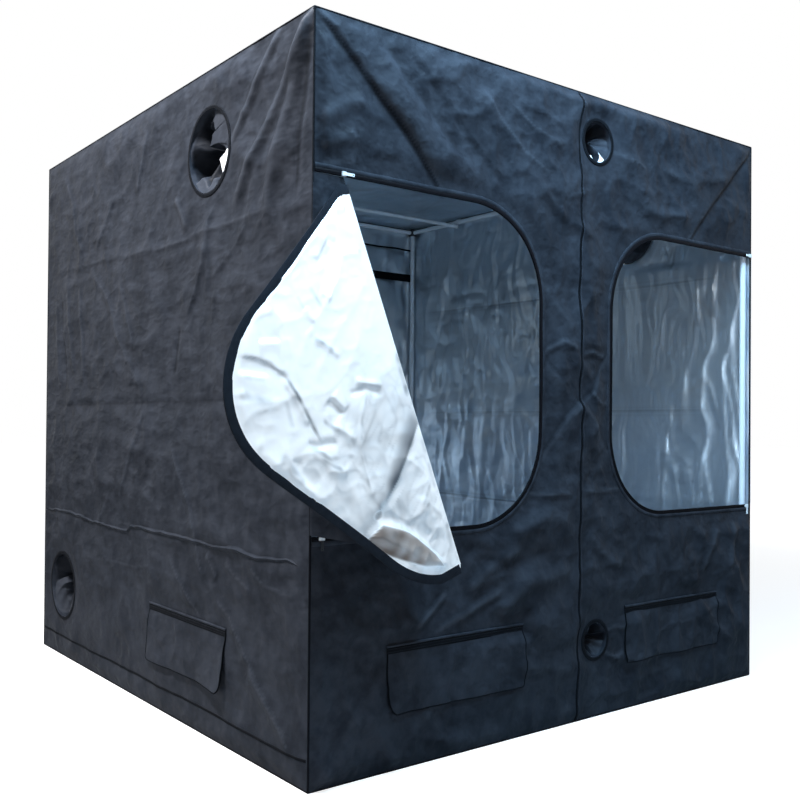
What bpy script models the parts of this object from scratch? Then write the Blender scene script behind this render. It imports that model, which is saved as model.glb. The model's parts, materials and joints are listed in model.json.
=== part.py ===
"""Indoor grow tent: a steel pole frame inside a zipped canvas cover.

Metres, +Z up. The origin is the middle of the floor panel's underside, and the two doors face -Y.
"""

import math

import bmesh
import bpy
from mathutils import Matrix, Vector

OBJECT_NAME = "grow_tent"

# Outer size and cloth
TENT_WIDTH = 2.0
TENT_DEPTH = 2.0
TENT_HEIGHT = 2.0
CLOTH = 0.002
SEAT_GAP = 0.0003
MERGE = 0.00005

# Pole frame
POLE_DIAMETER = 0.022
POLE_WALL = 0.001
POLE_SIDES = 12
SWAGE_LENGTH = 0.030
SWAGE_DEPTH = 0.0005
CONNECTOR_SIZE = 0.036
CONNECTOR_EDGE = 0.003
SPIGOT_LENGTH = 0.045
SPIGOT_CLEARANCE = 0.0003
SPIGOT_SIDES = 12

# Hanging bars, each hooked over both top side rails
BAR_DIAMETER = 0.018
BAR_FROM_MIDDLE = 0.61
BAR_DROP = 0.0247
HOOK_THICKNESS = 0.0025
HOOK_WIDTH = 0.020
HOOK_CLEARANCE = 0.0005
HOOK_FOOT = 0.002
HOOK_STEPS = 12
WELD_DEPTH = 0.001

# Front: centre seam and the two D-shaped doorways
SEAM_X = 0.010
DOOR_TO_SEAM = 0.172
DOOR_HINGE_MARGIN = 0.005
DOOR_BOTTOM = 0.647
DOOR_TOP_DROP = 0.422
DOOR_RADIUS = 0.27
DOOR_ARC_STEPS = 8
LEAF_CLEARANCE = 0.002

# Zips round the doorways
ZIP_WIDTH = 0.012
SLIDER_LENGTH = 0.016
SLIDER_THICKNESS = 0.006
SLIDER_NOSE = 0.004
PULL_LENGTH = 0.030
PULL_WIDTH = 0.008
PULL_THICKNESS = 0.0015
PULL_EYE = 0.004
UPPER_SLIDER_FROM_CORNER = 0.015
LOWER_SLIDER_FROM_CORNER = 0.033

# Left door, partly unzipped: its free leaf is turned back over an inclined crease
CREASE_TOP_FROM_CORNER = 0.094
CREASE_CUT_ANGLE = math.radians(34.9)
CREASE_LEAN = math.radians(17.3)
CREASE_STANDOFF = math.radians(6.0)
CREASE_OPEN = math.radians(3.5)
CREASE_STEPS = 26
CREASE_ACROSS_STEPS = 9
FLAP_START = 0.030
FLAP_TIP = 0.020
FLAP_BELLY = 0.012
FLAP_FOLD_HEIGHT = 0.009
FLAP_FOLD_WIDTH = 0.045
FLAP_FOLD_EASE_SHARE = 0.25
APRON_STEPS_ACROSS = 12
APRON_STEPS_DOWN = 16
APRON_WAVE = 0.042
APRON_LIFT = 0.005
APRON_EASE_SHARE = 0.333

# Right door, swung open round the corner
RIGHT_LEAF_STEPS_UP = 20
RIGHT_LEAF_STEPS_ACROSS = 14
RIGHT_LEAF_RELIEF = 0.020
RIGHT_LEAF_FLAT_STRIP = 0.036
RIGHT_LEAF_RISE = 0.060
RIGHT_LEAF_FOLDS = 2.5
RIGHT_LEAF_DRIFT = 2.0
RIGHT_LEAF_DEEPEST_SHARE = 0.4
RIGHT_LEAF_TAPER_SHARE = 0.4

# Vent windows and their covers
WINDOW_WIDTH = 0.513
WINDOW_HEIGHT = 0.188
WINDOW_TOP = 0.342
WINDOW_CHAMFER = 0.020
WINDOW_BORDER = 0.030
WINDOW_BAND = 0.020
WINDOW_BAND_THICKNESS = 0.0012
SCREEN_THICKNESS = 0.0006
FRONT_WINDOW_FROM_SEAM = 0.502
SIDE_WINDOW_FROM_FRONT = 0.687

# Round ports and their sleeves
SIDE_PORT_RADIUS = 0.125
SIDE_UPPER_PORT_DROP = 0.245
SIDE_UPPER_PORT_FROM_FRONT = 0.565
SIDE_LOWER_PORT_HEIGHT = 0.280
SIDE_LOWER_PORT_FROM_REAR = 0.223
FRONT_UPPER_PORT_RADIUS = 0.065
FRONT_LOWER_PORT_RADIUS = 0.055
FRONT_UPPER_PORT_DROP = 0.145
FRONT_LOWER_PORT_HEIGHT = 0.247
FRONT_PORT_FROM_SEAM = 0.096
PORT_SIDES = 24
SLEEVE_COLLAR = 0.012
SLEEVE_LENGTH = 0.110
SLEEVE_END_SHARE = 0.82

# Horizontal fold pressed into the left wall
RIPPLE_RADIUS = 0.0035
RIPPLE_HEIGHT = 0.585
RIPPLE_RISE = 0.020
RIPPLE_PHASE = -1.0
RIPPLE_WAVER = 9.0
RIPPLE_MARGIN = 0.012
RIPPLE_STEPS = 18

# Floor tray and rear strap
TRAY_LIP = 0.095
TRAY_THICKNESS = 0.002
STRAP_WIDTH = 0.040
STRAP_DROP = 0.265
STRAP_THICKNESS = 0.002
STRAP_END_GAP = 0.006

# Sizes that follow from the ones above
HALF_WIDTH = TENT_WIDTH / 2
HALF_DEPTH = TENT_DEPTH / 2
POLE_RADIUS = POLE_DIAMETER / 2
POLE_INSET = CLOTH + SEAT_GAP + CONNECTOR_SIZE / 2
AXIS_X = HALF_WIDTH - POLE_INSET
AXIS_Y = HALF_DEPTH - POLE_INSET
AXIS_LOW = POLE_INSET
AXIS_HIGH = TENT_HEIGHT - POLE_INSET
WALL_LOW = CLOTH + SEAT_GAP
WALL_HIGH = TENT_HEIGHT - CLOTH - SEAT_GAP
DOOR_TOP = TENT_HEIGHT - DOOR_TOP_DROP
LEAF_OFFSET = SEAT_GAP + CLOTH / 2
LEFT_DOOR_WIDTH = HALF_WIDTH - DOOR_HINGE_MARGIN + SEAM_X - DOOR_TO_SEAM
RIGHT_DOOR_WIDTH = HALF_WIDTH - DOOR_HINGE_MARGIN - SEAM_X - DOOR_TO_SEAM


def clear_scene():
    for item in list(bpy.data.objects):
        bpy.data.objects.remove(item, do_unlink=True)


def new_collection(name):
    collection = bpy.data.collections.new(name)
    bpy.context.scene.collection.children.link(collection)
    return collection


def make_material(name, color, roughness, metallic):
    material = bpy.data.materials.new(name)
    material.use_nodes = True
    shader = material.node_tree.nodes["Principled BSDF"]
    shader.inputs["Base Color"].default_value = (*color, 1.0)
    shader.inputs["Roughness"].default_value = roughness
    shader.inputs["Metallic"].default_value = metallic
    return material


clear_scene()
PARTS = new_collection(OBJECT_NAME)
CUTTERS = new_collection("cutters")

CANVAS = (0.050, 0.058, 0.075)
SILVER = (0.720, 0.760, 0.800)
POLE_WHITE = (0.640, 0.690, 0.760)
CONNECTOR_BLACK = (0.030, 0.032, 0.036)
ZIP_BLACK = (0.018, 0.018, 0.022)
SLIDER_WHITE = (0.800, 0.820, 0.840)
CLOTH_ROUGHNESS = 0.62
FILM_ROUGHNESS = 0.34
PAINT_ROUGHNESS = 0.40
PLASTIC_ROUGHNESS = 0.50
FILM_METALLIC = 0.70


def canvas_material(name):
    return make_material(name + "_canvas", CANVAS, CLOTH_ROUGHNESS, 0.0)


def silver_material(name):
    return make_material(name + "_silver_film", SILVER, FILM_ROUGHNESS, FILM_METALLIC)


def pole_material(name):
    return make_material(name + "_white_steel", POLE_WHITE, PAINT_ROUGHNESS, 0.0)


def connector_material(name):
    return make_material(name + "_plastic", CONNECTOR_BLACK, PLASTIC_ROUGHNESS, 0.0)


def zip_material(name):
    return make_material(name + "_zip_tape", ZIP_BLACK, CLOTH_ROUGHNESS, 0.0)


def slider_material(name):
    return make_material(name + "_enamel", SLIDER_WHITE, PAINT_ROUGHNESS, 0.0)


# Helpers that turn outlines, profiles and grids into named objects

def add_part(name, mesh, material, origin=(0.0, 0.0, 0.0)):
    """Place a mesh given in world coordinates as a part whose origin is at the given point."""
    mesh.transform(Matrix.Translation(-Vector(origin)))
    mesh.materials.clear()
    mesh.materials.append(material)
    part = bpy.data.objects.new(name, mesh)
    part.location = origin
    PARTS.objects.link(part)
    return part


def add_cutter(name, mesh):
    cutter = bpy.data.objects.new(name, mesh)
    cutter.hide_render = True
    cutter.display_type = "WIRE"
    CUTTERS.objects.link(cutter)
    return cutter


def combine(part, operand, operation):
    modifier = part.modifiers.new(operand.name, "BOOLEAN")
    modifier.solver = "EXACT"
    modifier.operation = operation
    modifier.object = operand
    return modifier


def mesh_of(item):
    """Mesh of an evaluated object in its own coordinates; the object is removed."""
    graph = bpy.context.evaluated_depsgraph_get()
    mesh = bpy.data.meshes.new_from_object(item.evaluated_get(graph))
    bm = bmesh.new()
    bm.from_mesh(mesh)
    bmesh.ops.remove_doubles(bm, verts=bm.verts, dist=MERGE)
    bm.to_mesh(mesh)
    bm.free()
    bpy.data.objects.remove(item, do_unlink=True)
    return mesh


def add_spline(curve, points, cyclic):
    spline = curve.splines.new("POLY")
    spline.points.add(len(points) - 1)
    for spot, place in zip(spline.points, points):
        spot.co = (*place, 0.0, 1.0) if len(place) == 2 else (*place, 1.0)
    spline.use_cyclic_u = cyclic


def plate_mesh(outline, holes, thickness, matrix):
    """A flat plate with holes: local X and Y lie in the plate, local Z is its thickness."""
    curve = bpy.data.curves.new("outline", "CURVE")
    curve.dimensions = "2D"
    curve.fill_mode = "BOTH"
    curve.extrude = thickness / 2
    add_spline(curve, outline, True)
    for hole in holes:
        add_spline(curve, hole, True)
    item = bpy.data.objects.new("outline", curve)
    PARTS.objects.link(item)
    bpy.context.view_layer.update()
    mesh = mesh_of(item)
    mesh.transform(matrix)
    return mesh


def tube_mesh(points, radius, resolution):
    """A solid round rod along a path."""
    curve = bpy.data.curves.new("path", "CURVE")
    curve.dimensions = "3D"
    curve.bevel_depth = radius
    curve.bevel_resolution = resolution
    curve.use_fill_caps = True
    add_spline(curve, points, False)
    item = bpy.data.objects.new("path", curve)
    PARTS.objects.link(item)
    bpy.context.view_layer.update()
    return mesh_of(item)


def turned_part(name, profile, steps, matrix, material):
    """A turned ring: the profile of (radius, height) pairs runs down its outer side first."""
    mesh = bpy.data.meshes.new(name)
    vertices = [(radius, 0.0, height) for radius, height in profile]
    edges = [(index, (index + 1) % len(profile)) for index in range(len(profile))]
    mesh.from_pydata(vertices, edges, [])
    mesh.materials.append(material)
    part = bpy.data.objects.new(name, mesh)
    part.matrix_world = matrix
    PARTS.objects.link(part)
    screw = part.modifiers.new("turned", "SCREW")
    screw.axis = "Z"
    screw.angle = math.tau
    screw.steps = steps
    screw.render_steps = steps
    screw.use_merge_vertices = True
    screw.merge_threshold = MERGE
    screw.use_smooth_shade = True
    return part


def box_mesh(low, high):
    bm = bmesh.new()
    bmesh.ops.create_cube(bm, size=1.0)
    middle = (Vector(low) + Vector(high)) / 2
    size = Vector(high) - Vector(low)
    bmesh.ops.scale(bm, vec=size, verts=bm.verts)
    bmesh.ops.translate(bm, vec=middle, verts=bm.verts)
    mesh = bpy.data.meshes.new("box")
    bm.to_mesh(mesh)
    bm.free()
    return mesh


def sheet_part(name, place, steps_across, steps_along, material, origin):
    """A sheet of cloth: a grid laid out by place(across share, along share), then thickened."""
    bm = bmesh.new()
    bmesh.ops.create_grid(bm, x_segments=steps_across, y_segments=steps_along, size=1.0)
    for vertex in bm.verts:
        vertex.co = place((vertex.co.x + 1) / 2, (vertex.co.y + 1) / 2)
    mesh = bpy.data.meshes.new(name)
    bm.to_mesh(mesh)
    bm.free()
    mesh.shade_smooth()
    part = add_part(name, mesh, material, origin)
    solid = part.modifiers.new("cloth", "SOLIDIFY")
    solid.thickness = CLOTH
    solid.offset = 0.0
    return part


# Outlines

def rectangle(left, right, low, high):
    return [(left, low), (right, low), (right, high), (left, high)]


def circle(middle, radius, sides):
    turns = [math.tau * index / sides for index in range(sides)]
    return [(middle[0] + radius * math.cos(t), middle[1] + radius * math.sin(t)) for t in turns]


def arc(middle, radius, start, end, steps):
    turns = [start + (end - start) * index / steps for index in range(steps + 1)]
    return [(middle[0] + radius * math.cos(t), middle[1] + radius * math.sin(t)) for t in turns]


def door_outline(width, grow):
    """A D-shaped doorway as (distance from the hinge edge, height), from its lower hinge corner."""
    low = DOOR_BOTTOM - grow
    high = DOOR_TOP + grow
    reach = width - DOOR_RADIUS
    radius = DOOR_RADIUS + grow
    quarter = math.pi / 2
    lower = arc((reach, low + radius), radius, -quarter, 0.0, DOOR_ARC_STEPS)
    upper = arc((reach, high - radius), radius, 0.0, quarter, DOOR_ARC_STEPS)
    return [(0.0, low)] + lower + upper + [(0.0, high)]


def on_front(points, side):
    """Door points as (x, z) on the front; side is -1 for the left door and 1 for the right."""
    hinge = side * (HALF_WIDTH - DOOR_HINGE_MARGIN)
    return [(hinge - side * along, height) for along, height in points]


# Faces of the tent: local X runs to the right of someone who looks at the face, Y up, Z outward

def face(name):
    columns = {
        "front": ((1, 0, 0), (0, 0, 1), (0, -1, 0), (0, -HALF_DEPTH, 0)),
        "rear": ((-1, 0, 0), (0, 0, 1), (0, 1, 0), (0, HALF_DEPTH, 0)),
        "left": ((0, -1, 0), (0, 0, 1), (-1, 0, 0), (-HALF_WIDTH, 0, 0)),
        "right": ((0, 1, 0), (0, 0, 1), (1, 0, 0), (HALF_WIDTH, 0, 0)),
    }[name]
    matrix = Matrix.Identity(4)
    for index, column in enumerate(columns):
        for row in range(3):
            matrix[row][index] = column[row]
    return matrix


def in_face(name, depth):
    """The face's matrix moved outward by depth."""
    return face(name) @ Matrix.Translation((0.0, 0.0, depth))


# Pole frame

def pole(name, start, end):
    """A hollow pole between two connector faces, with the swaged joint of its two halves."""
    start = Vector(start)
    end = Vector(end)
    length = (end - start).length
    outer = POLE_RADIUS
    inner = POLE_RADIUS - POLE_WALL
    neck = POLE_RADIUS - SWAGE_DEPTH
    middle = length / 2
    edge = SWAGE_LENGTH / 2
    slope = SWAGE_DEPTH
    profile = [
        (outer, length),
        (outer, middle + edge),
        (neck, middle + edge - slope),
        (neck, middle - edge + slope),
        (outer, middle - edge),
        (outer, 0.0),
        (inner, 0.0),
        (inner, length),
    ]
    turn = Vector((0, 0, 1)).rotation_difference(end - start).to_matrix().to_4x4()
    turned_part(name, profile, POLE_SIDES, Matrix.Translation(start) @ turn, pole_material(name))


def pole_between(name, start, end):
    """A pole from one connector's middle to another's, shortened to their faces."""
    start = Vector(start)
    end = Vector(end)
    along = (end - start).normalized()
    set_back = along * (CONNECTOR_SIZE / 2 + SEAT_GAP)
    pole(name, start + set_back, end - set_back)


def spigot_mesh(middle, direction):
    """A connector's spigot: it starts inside the block and ends inside the pole."""
    radius = POLE_RADIUS - POLE_WALL - SPIGOT_CLEARANCE
    length = CONNECTOR_SIZE / 2 + SPIGOT_LENGTH
    bm = bmesh.new()
    bmesh.ops.create_cone(
        bm, cap_ends=True, segments=SPIGOT_SIDES, radius1=radius, radius2=radius, depth=length
    )
    turn = Vector((0, 0, 1)).rotation_difference(Vector(direction)).to_matrix().to_4x4()
    move = Matrix.Translation(Vector(middle) + Vector(direction) * length / 2)
    bmesh.ops.transform(bm, matrix=move @ turn, verts=bm.verts)
    mesh = bpy.data.meshes.new("spigot")
    bm.to_mesh(mesh)
    bm.free()
    return mesh


def connector(name, middle, directions):
    """A moulded connector: a rounded block with one spigot for each pole."""
    half = Vector((CONNECTOR_SIZE, CONNECTOR_SIZE, CONNECTOR_SIZE)) / 2
    block = box_mesh(Vector(middle) - half, Vector(middle) + half)
    part = add_part(name, block, connector_material(name))
    bevel = part.modifiers.new("edges", "BEVEL")
    bevel.width = CONNECTOR_EDGE
    bevel.segments = 1
    for index, direction in enumerate(directions):
        spigot = add_cutter(f"{name}_spigot_{index}", spigot_mesh(middle, direction))
        combine(part, spigot, "UNION")


def build_frame():
    ends = {"front": -AXIS_Y, "rear": AXIS_Y}
    sides = {"left": -AXIS_X, "right": AXIS_X}
    levels = {"base": AXIS_LOW, "top": AXIS_HIGH}
    for end_name, y in ends.items():
        for side_name, x in sides.items():
            pole_between(f"post_{end_name}_{side_name}", (x, y, AXIS_LOW), (x, y, AXIS_HIGH))
        pole_between(f"post_{end_name}_centre", (0, y, AXIS_LOW), (0, y, AXIS_HIGH))
    for level_name, z in levels.items():
        upright = (0, 0, 1) if level_name == "base" else (0, 0, -1)
        for end_name, y in ends.items():
            inward = (0, 1, 0) if end_name == "front" else (0, -1, 0)
            connector(f"tee_{end_name}_{level_name}", (0, y, z), [(1, 0, 0), (-1, 0, 0), upright])
            for side_name, x in sides.items():
                across = (1, 0, 0) if side_name == "left" else (-1, 0, 0)
                pole_between(f"rail_{end_name}_{level_name}_{side_name}", (x, y, z), (0, y, z))
                connector(
                    f"corner_{end_name}_{side_name}_{level_name}", (x, y, z), [across, inward, upright]
                )
        for side_name, x in sides.items():
            pole_between(f"rail_{side_name}_{level_name}", (x, -AXIS_Y, z), (x, AXIS_Y, z))


def hook_mesh(side, y):
    """The flat hook at a bar's end: it passes up beside the side rail, over it and down outside."""
    inner = POLE_RADIUS + HOOK_CLEARANCE
    outer = inner + HOOK_THICKNESS
    foot = -BAR_DROP - BAR_DIAMETER / 2 - HOOK_FOOT
    over = arc((0.0, 0.0), outer, math.pi, 0.0, HOOK_STEPS)
    back = arc((0.0, 0.0), inner, 0.0, math.pi, HOOK_STEPS)
    outline = [(-outer, foot)] + over + back + [(-inner, foot)]
    turn = Matrix.Rotation(math.pi / 2, 4, "X")
    if side < 0:
        turn = Matrix.Rotation(math.pi, 4, "Z") @ turn
    move = Matrix.Translation((side * AXIS_X, y, AXIS_HIGH))
    return plate_mesh(outline, [], HOOK_WIDTH, move @ turn)


def hanging_bar(name, y):
    z = AXIS_HIGH - BAR_DROP
    reach = AXIS_X - POLE_RADIUS - HOOK_CLEARANCE - HOOK_THICKNESS + WELD_DEPTH
    radius = BAR_DIAMETER / 2
    bm = bmesh.new()
    bmesh.ops.create_cone(
        bm, cap_ends=True, segments=POLE_SIDES, radius1=radius, radius2=radius, depth=2 * reach
    )
    turn = Matrix.Rotation(math.pi / 2, 4, "Y")
    bmesh.ops.transform(bm, matrix=Matrix.Translation((0, y, z)) @ turn, verts=bm.verts)
    mesh = bpy.data.meshes.new(name)
    bm.to_mesh(mesh)
    bm.free()
    bar = add_part(name, mesh, pole_material(name), (0.0, y, z))
    for side in (-1, 1):
        hook = add_cutter(f"{name}_hook_{side + 1}", hook_mesh(side, y))
        combine(bar, hook, "UNION")


# Cover panels

def wall(name, where, left, right, holes):
    outline = rectangle(left, right, WALL_LOW, WALL_HIGH)
    mesh = plate_mesh(outline, holes, CLOTH, in_face(where, -CLOTH / 2))
    return add_part(name, mesh, canvas_material(name))


def thin_screen(panel, where, middle):
    """Thin the panel behind a window cover to its sewn-in screen, from the inside."""
    half = WINDOW_WIDTH / 2 - WINDOW_BORDER
    low = WINDOW_TOP - WINDOW_HEIGHT + WINDOW_BORDER
    high = WINDOW_TOP - WINDOW_BORDER
    cut = box_mesh((middle - half, low, -2 * CLOTH), (middle + half, high, -SCREEN_THICKNESS))
    cut.transform(face(where))
    combine(panel, add_cutter(panel.name + "_screen", cut), "DIFFERENCE")


def side_places():
    """Distances along a side wall from its middle towards the rear, and heights."""
    return {
        "upper": (SIDE_UPPER_PORT_FROM_FRONT - HALF_DEPTH, TENT_HEIGHT - SIDE_UPPER_PORT_DROP),
        "lower": (HALF_DEPTH - SIDE_LOWER_PORT_FROM_REAR, SIDE_LOWER_PORT_HEIGHT),
        "window": (SIDE_WINDOW_FROM_FRONT - HALF_DEPTH, WINDOW_TOP),
    }


def front_ports():
    x = SEAM_X + FRONT_PORT_FROM_SEAM
    return {
        "upper": ((x, TENT_HEIGHT - FRONT_UPPER_PORT_DROP), FRONT_UPPER_PORT_RADIUS),
        "lower": ((x, FRONT_LOWER_PORT_HEIGHT), FRONT_LOWER_PORT_RADIUS),
    }


def ripple_place(along):
    """Height of the left wall's pressed fold at a distance along the wall."""
    share = along / HALF_DEPTH
    bow = RIPPLE_RISE * math.cos(math.pi * share + RIPPLE_PHASE)
    waver = RIPPLE_RADIUS * math.sin(RIPPLE_WAVER * share)
    return RIPPLE_HEIGHT + bow + waver


def add_ripple(panel):
    reach = HALF_DEPTH - RIPPLE_MARGIN
    places = [reach * (2 * index / RIPPLE_STEPS - 1) for index in range(RIPPLE_STEPS + 1)]
    points = [(along, ripple_place(along), 0.0) for along in places]
    ridge = tube_mesh(points, RIPPLE_RADIUS, 1)
    ridge.transform(face("left"))
    combine(panel, add_cutter("left_panel_ripple", ridge), "UNION")


def build_side_walls():
    places = side_places()
    reach = HALF_DEPTH - CLOTH - SEAT_GAP
    for where, sign in (("left", -1), ("right", 1)):
        holes = []
        for level in ("upper", "lower"):
            along, height = places[level]
            spot = (sign * along, height)
            holes.append(circle(spot, SIDE_PORT_RADIUS, PORT_SIDES))
            sleeve(f"sleeve_{where}_{level}", where, spot, SIDE_PORT_RADIUS)
        panel = wall(f"{where}_panel", where, -reach, reach, holes)
        along, top = places["window"]
        thin_screen(panel, where, sign * along)
        window_cover(f"cover_{where}", where, sign * along)
        if where == "left":
            add_ripple(panel)


def build_front_and_rear():
    seam_gap = SEAT_GAP / 2
    left_door = on_front(door_outline(LEFT_DOOR_WIDTH, 0.0), -1)
    left = wall("front_left_panel", "front", -HALF_WIDTH, SEAM_X - seam_gap, [left_door])
    thin_screen(left, "front", SEAM_X - FRONT_WINDOW_FROM_SEAM)
    window_cover("cover_front_left", "front", SEAM_X - FRONT_WINDOW_FROM_SEAM)
    holes = [on_front(door_outline(RIGHT_DOOR_WIDTH, 0.0), 1)]
    for level, (spot, radius) in front_ports().items():
        holes.append(circle(spot, radius, PORT_SIDES))
        sleeve(f"sleeve_front_{level}", "front", spot, radius)
    right = wall("front_right_panel", "front", SEAM_X + seam_gap, HALF_WIDTH, holes)
    thin_screen(right, "front", SEAM_X + FRONT_WINDOW_FROM_SEAM)
    window_cover("cover_front_right", "front", SEAM_X + FRONT_WINDOW_FROM_SEAM)
    wall("rear_panel", "rear", -HALF_WIDTH, HALF_WIDTH, [])


def build_roof_and_floor():
    low = (-HALF_WIDTH, -HALF_DEPTH, 0.0)
    floor = box_mesh(low, (HALF_WIDTH, HALF_DEPTH, CLOTH))
    add_part("floor_panel", floor, canvas_material("floor_panel"))
    roof = box_mesh(
        (-HALF_WIDTH, -HALF_DEPTH, TENT_HEIGHT - CLOTH), (HALF_WIDTH, HALF_DEPTH, TENT_HEIGHT)
    )
    add_part("roof_panel", roof, canvas_material("roof_panel"))


def build_tray():
    """The removable tray: an open pan that lies on the floor panel inside the base rails."""
    reach_x = AXIS_X - CONNECTOR_SIZE / 2 - SEAT_GAP
    reach_y = AXIS_Y - CONNECTOR_SIZE / 2 - SEAT_GAP
    low = CLOTH + SEAT_GAP
    mesh = box_mesh((-reach_x, -reach_y, low), (reach_x, reach_y, low + TRAY_LIP))
    bm = bmesh.new()
    bm.from_mesh(mesh)
    top = [item for item in bm.faces if item.normal.z > 0.5]
    bmesh.ops.delete(bm, geom=top, context="FACES")
    bm.to_mesh(mesh)
    bm.free()
    tray = add_part("floor_tray", mesh, silver_material("floor_tray"))
    shell = tray.modifiers.new("pan", "SOLIDIFY")
    shell.thickness = TRAY_THICKNESS
    shell.offset = -1.0
    shell.use_even_offset = True


def build_strap():
    """The flat strap across the rear wall, behind the posts."""
    reach = HALF_WIDTH - CLOTH - STRAP_END_GAP
    high = TENT_HEIGHT - STRAP_DROP + STRAP_WIDTH / 2
    back = HALF_DEPTH - CLOTH - SEAT_GAP
    mesh = box_mesh(
        (-reach, back - STRAP_THICKNESS, high - STRAP_WIDTH), (reach, back, high)
    )
    add_part("rear_strap", mesh, zip_material("rear_strap"))


def sleeve(name, where, spot, radius):
    """A port's sleeve: a collar sewn outside, and a tapered tube that reaches inside."""
    tube = radius - SEAT_GAP
    end = radius * SLEEVE_END_SHARE
    inner_face = -CLOTH - SEAT_GAP
    collar = radius + SLEEVE_COLLAR
    front = SEAT_GAP + CLOTH
    profile = [
        (collar, front),
        (collar, SEAT_GAP),
        (tube, SEAT_GAP),
        (tube, inner_face),
        (end, -SLEEVE_LENGTH),
        (end - CLOTH, -SLEEVE_LENGTH),
        (tube - CLOTH, inner_face),
        (tube - CLOTH, front),
    ]
    matrix = face(where) @ Matrix.Translation((*spot, 0.0))
    turned_part(name, profile, PORT_SIDES, matrix, canvas_material(name))


def window_cover(name, where, middle):
    """A window cover: it hangs from its sewn top band, which is thicker than the cloth."""
    left = middle - WINDOW_WIDTH / 2
    right = middle + WINDOW_WIDTH / 2
    low = WINDOW_TOP - WINDOW_HEIGHT
    cut = WINDOW_CHAMFER
    outline = [
        (left, low + cut),
        (left + cut, low),
        (right - cut, low),
        (right, low + cut),
        (right, WINDOW_TOP),
        (left, WINDOW_TOP),
    ]
    mesh = plate_mesh(outline, [], CLOTH, in_face(where, SEAT_GAP + CLOTH / 2))
    hinge = face(where) @ Vector((middle, WINDOW_TOP, SEAT_GAP + CLOTH / 2))
    cover = add_part(name, mesh, canvas_material(name), hinge)
    front = SEAT_GAP + CLOTH
    band = box_mesh(
        (left, WINDOW_TOP - WINDOW_BAND, SEAT_GAP + CLOTH / 2),
        (right, WINDOW_TOP, front + WINDOW_BAND_THICKNESS),
    )
    band.transform(face(where))
    combine(cover, add_cutter(name + "_band", band), "UNION")


# Doors

def zip_track(name, side, width):
    """The half of the zip that is sewn round the doorway, as a flat tape in the door's plane."""
    outer = on_front(door_outline(width, ZIP_WIDTH), side)
    inner = on_front(door_outline(width, 0.0), side)
    depth = SEAT_GAP + CLOTH / 2
    mesh = plate_mesh(outer + inner[::-1], [], CLOTH, in_face("front", depth))
    add_part(name, mesh, zip_material(name))


def zip_slider(name, x, z, pull_turn, side):
    """A slider on the tape with its pull: the pull turns about the slider's middle."""
    half = SLIDER_LENGTH / 2
    wide = ZIP_WIDTH / 2
    nose = SLIDER_NOSE
    outline = [
        (-half, -wide),
        (half - nose, -wide),
        (half, -wide + nose),
        (half, wide - nose),
        (half - nose, wide),
        (-half, wide),
    ]
    if side > 0:
        outline = [(-across, up) for across, up in outline[::-1]]
    back = 2 * SEAT_GAP + CLOTH
    front = back + SLIDER_THICKNESS
    place = face("front") @ Matrix.Translation((x, z, (back + front) / 2))
    body = plate_mesh(outline, [], SLIDER_THICKNESS, place)
    origin = face("front") @ Vector((x, z, back))
    slider = add_part(name, body, slider_material(name), origin)
    tab = PULL_WIDTH / 2
    pull_outline = rectangle(-tab, PULL_LENGTH, -tab, tab)
    eye = circle((PULL_LENGTH - tab, 0.0), PULL_EYE / 2, POLE_SIDES)
    turn = Matrix.Rotation(pull_turn, 4, "Z")
    height = front + PULL_THICKNESS / 2 - WELD_DEPTH / 2
    pull_place = face("front") @ Matrix.Translation((x, z, height)) @ turn
    pull = plate_mesh(pull_outline, [eye], PULL_THICKNESS, pull_place)
    combine(slider, add_cutter(name + "_pull", pull), "UNION")


def build_zips():
    upper = DOOR_TOP + ZIP_WIDTH / 2
    lower = DOOR_BOTTOM - ZIP_WIDTH / 2
    zip_track("left_zip_track", -1, LEFT_DOOR_WIDTH)
    zip_track("right_zip_track", 1, RIGHT_DOOR_WIDTH)
    left_upper = CREASE_TOP_FROM_CORNER - HALF_WIDTH
    left_lower = LOWER_SLIDER_FROM_CORNER - HALF_WIDTH
    right_upper = HALF_WIDTH - UPPER_SLIDER_FROM_CORNER
    zip_slider("slider_left_upper", left_upper, upper, 0.0, -1)
    zip_slider("slider_left_lower", left_lower, lower, -math.pi / 2, -1)
    zip_slider("slider_right_upper", right_upper, upper, math.pi, 1)
    zip_slider("slider_right_lower", -left_lower, lower, -math.pi / 2, 1)


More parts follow.
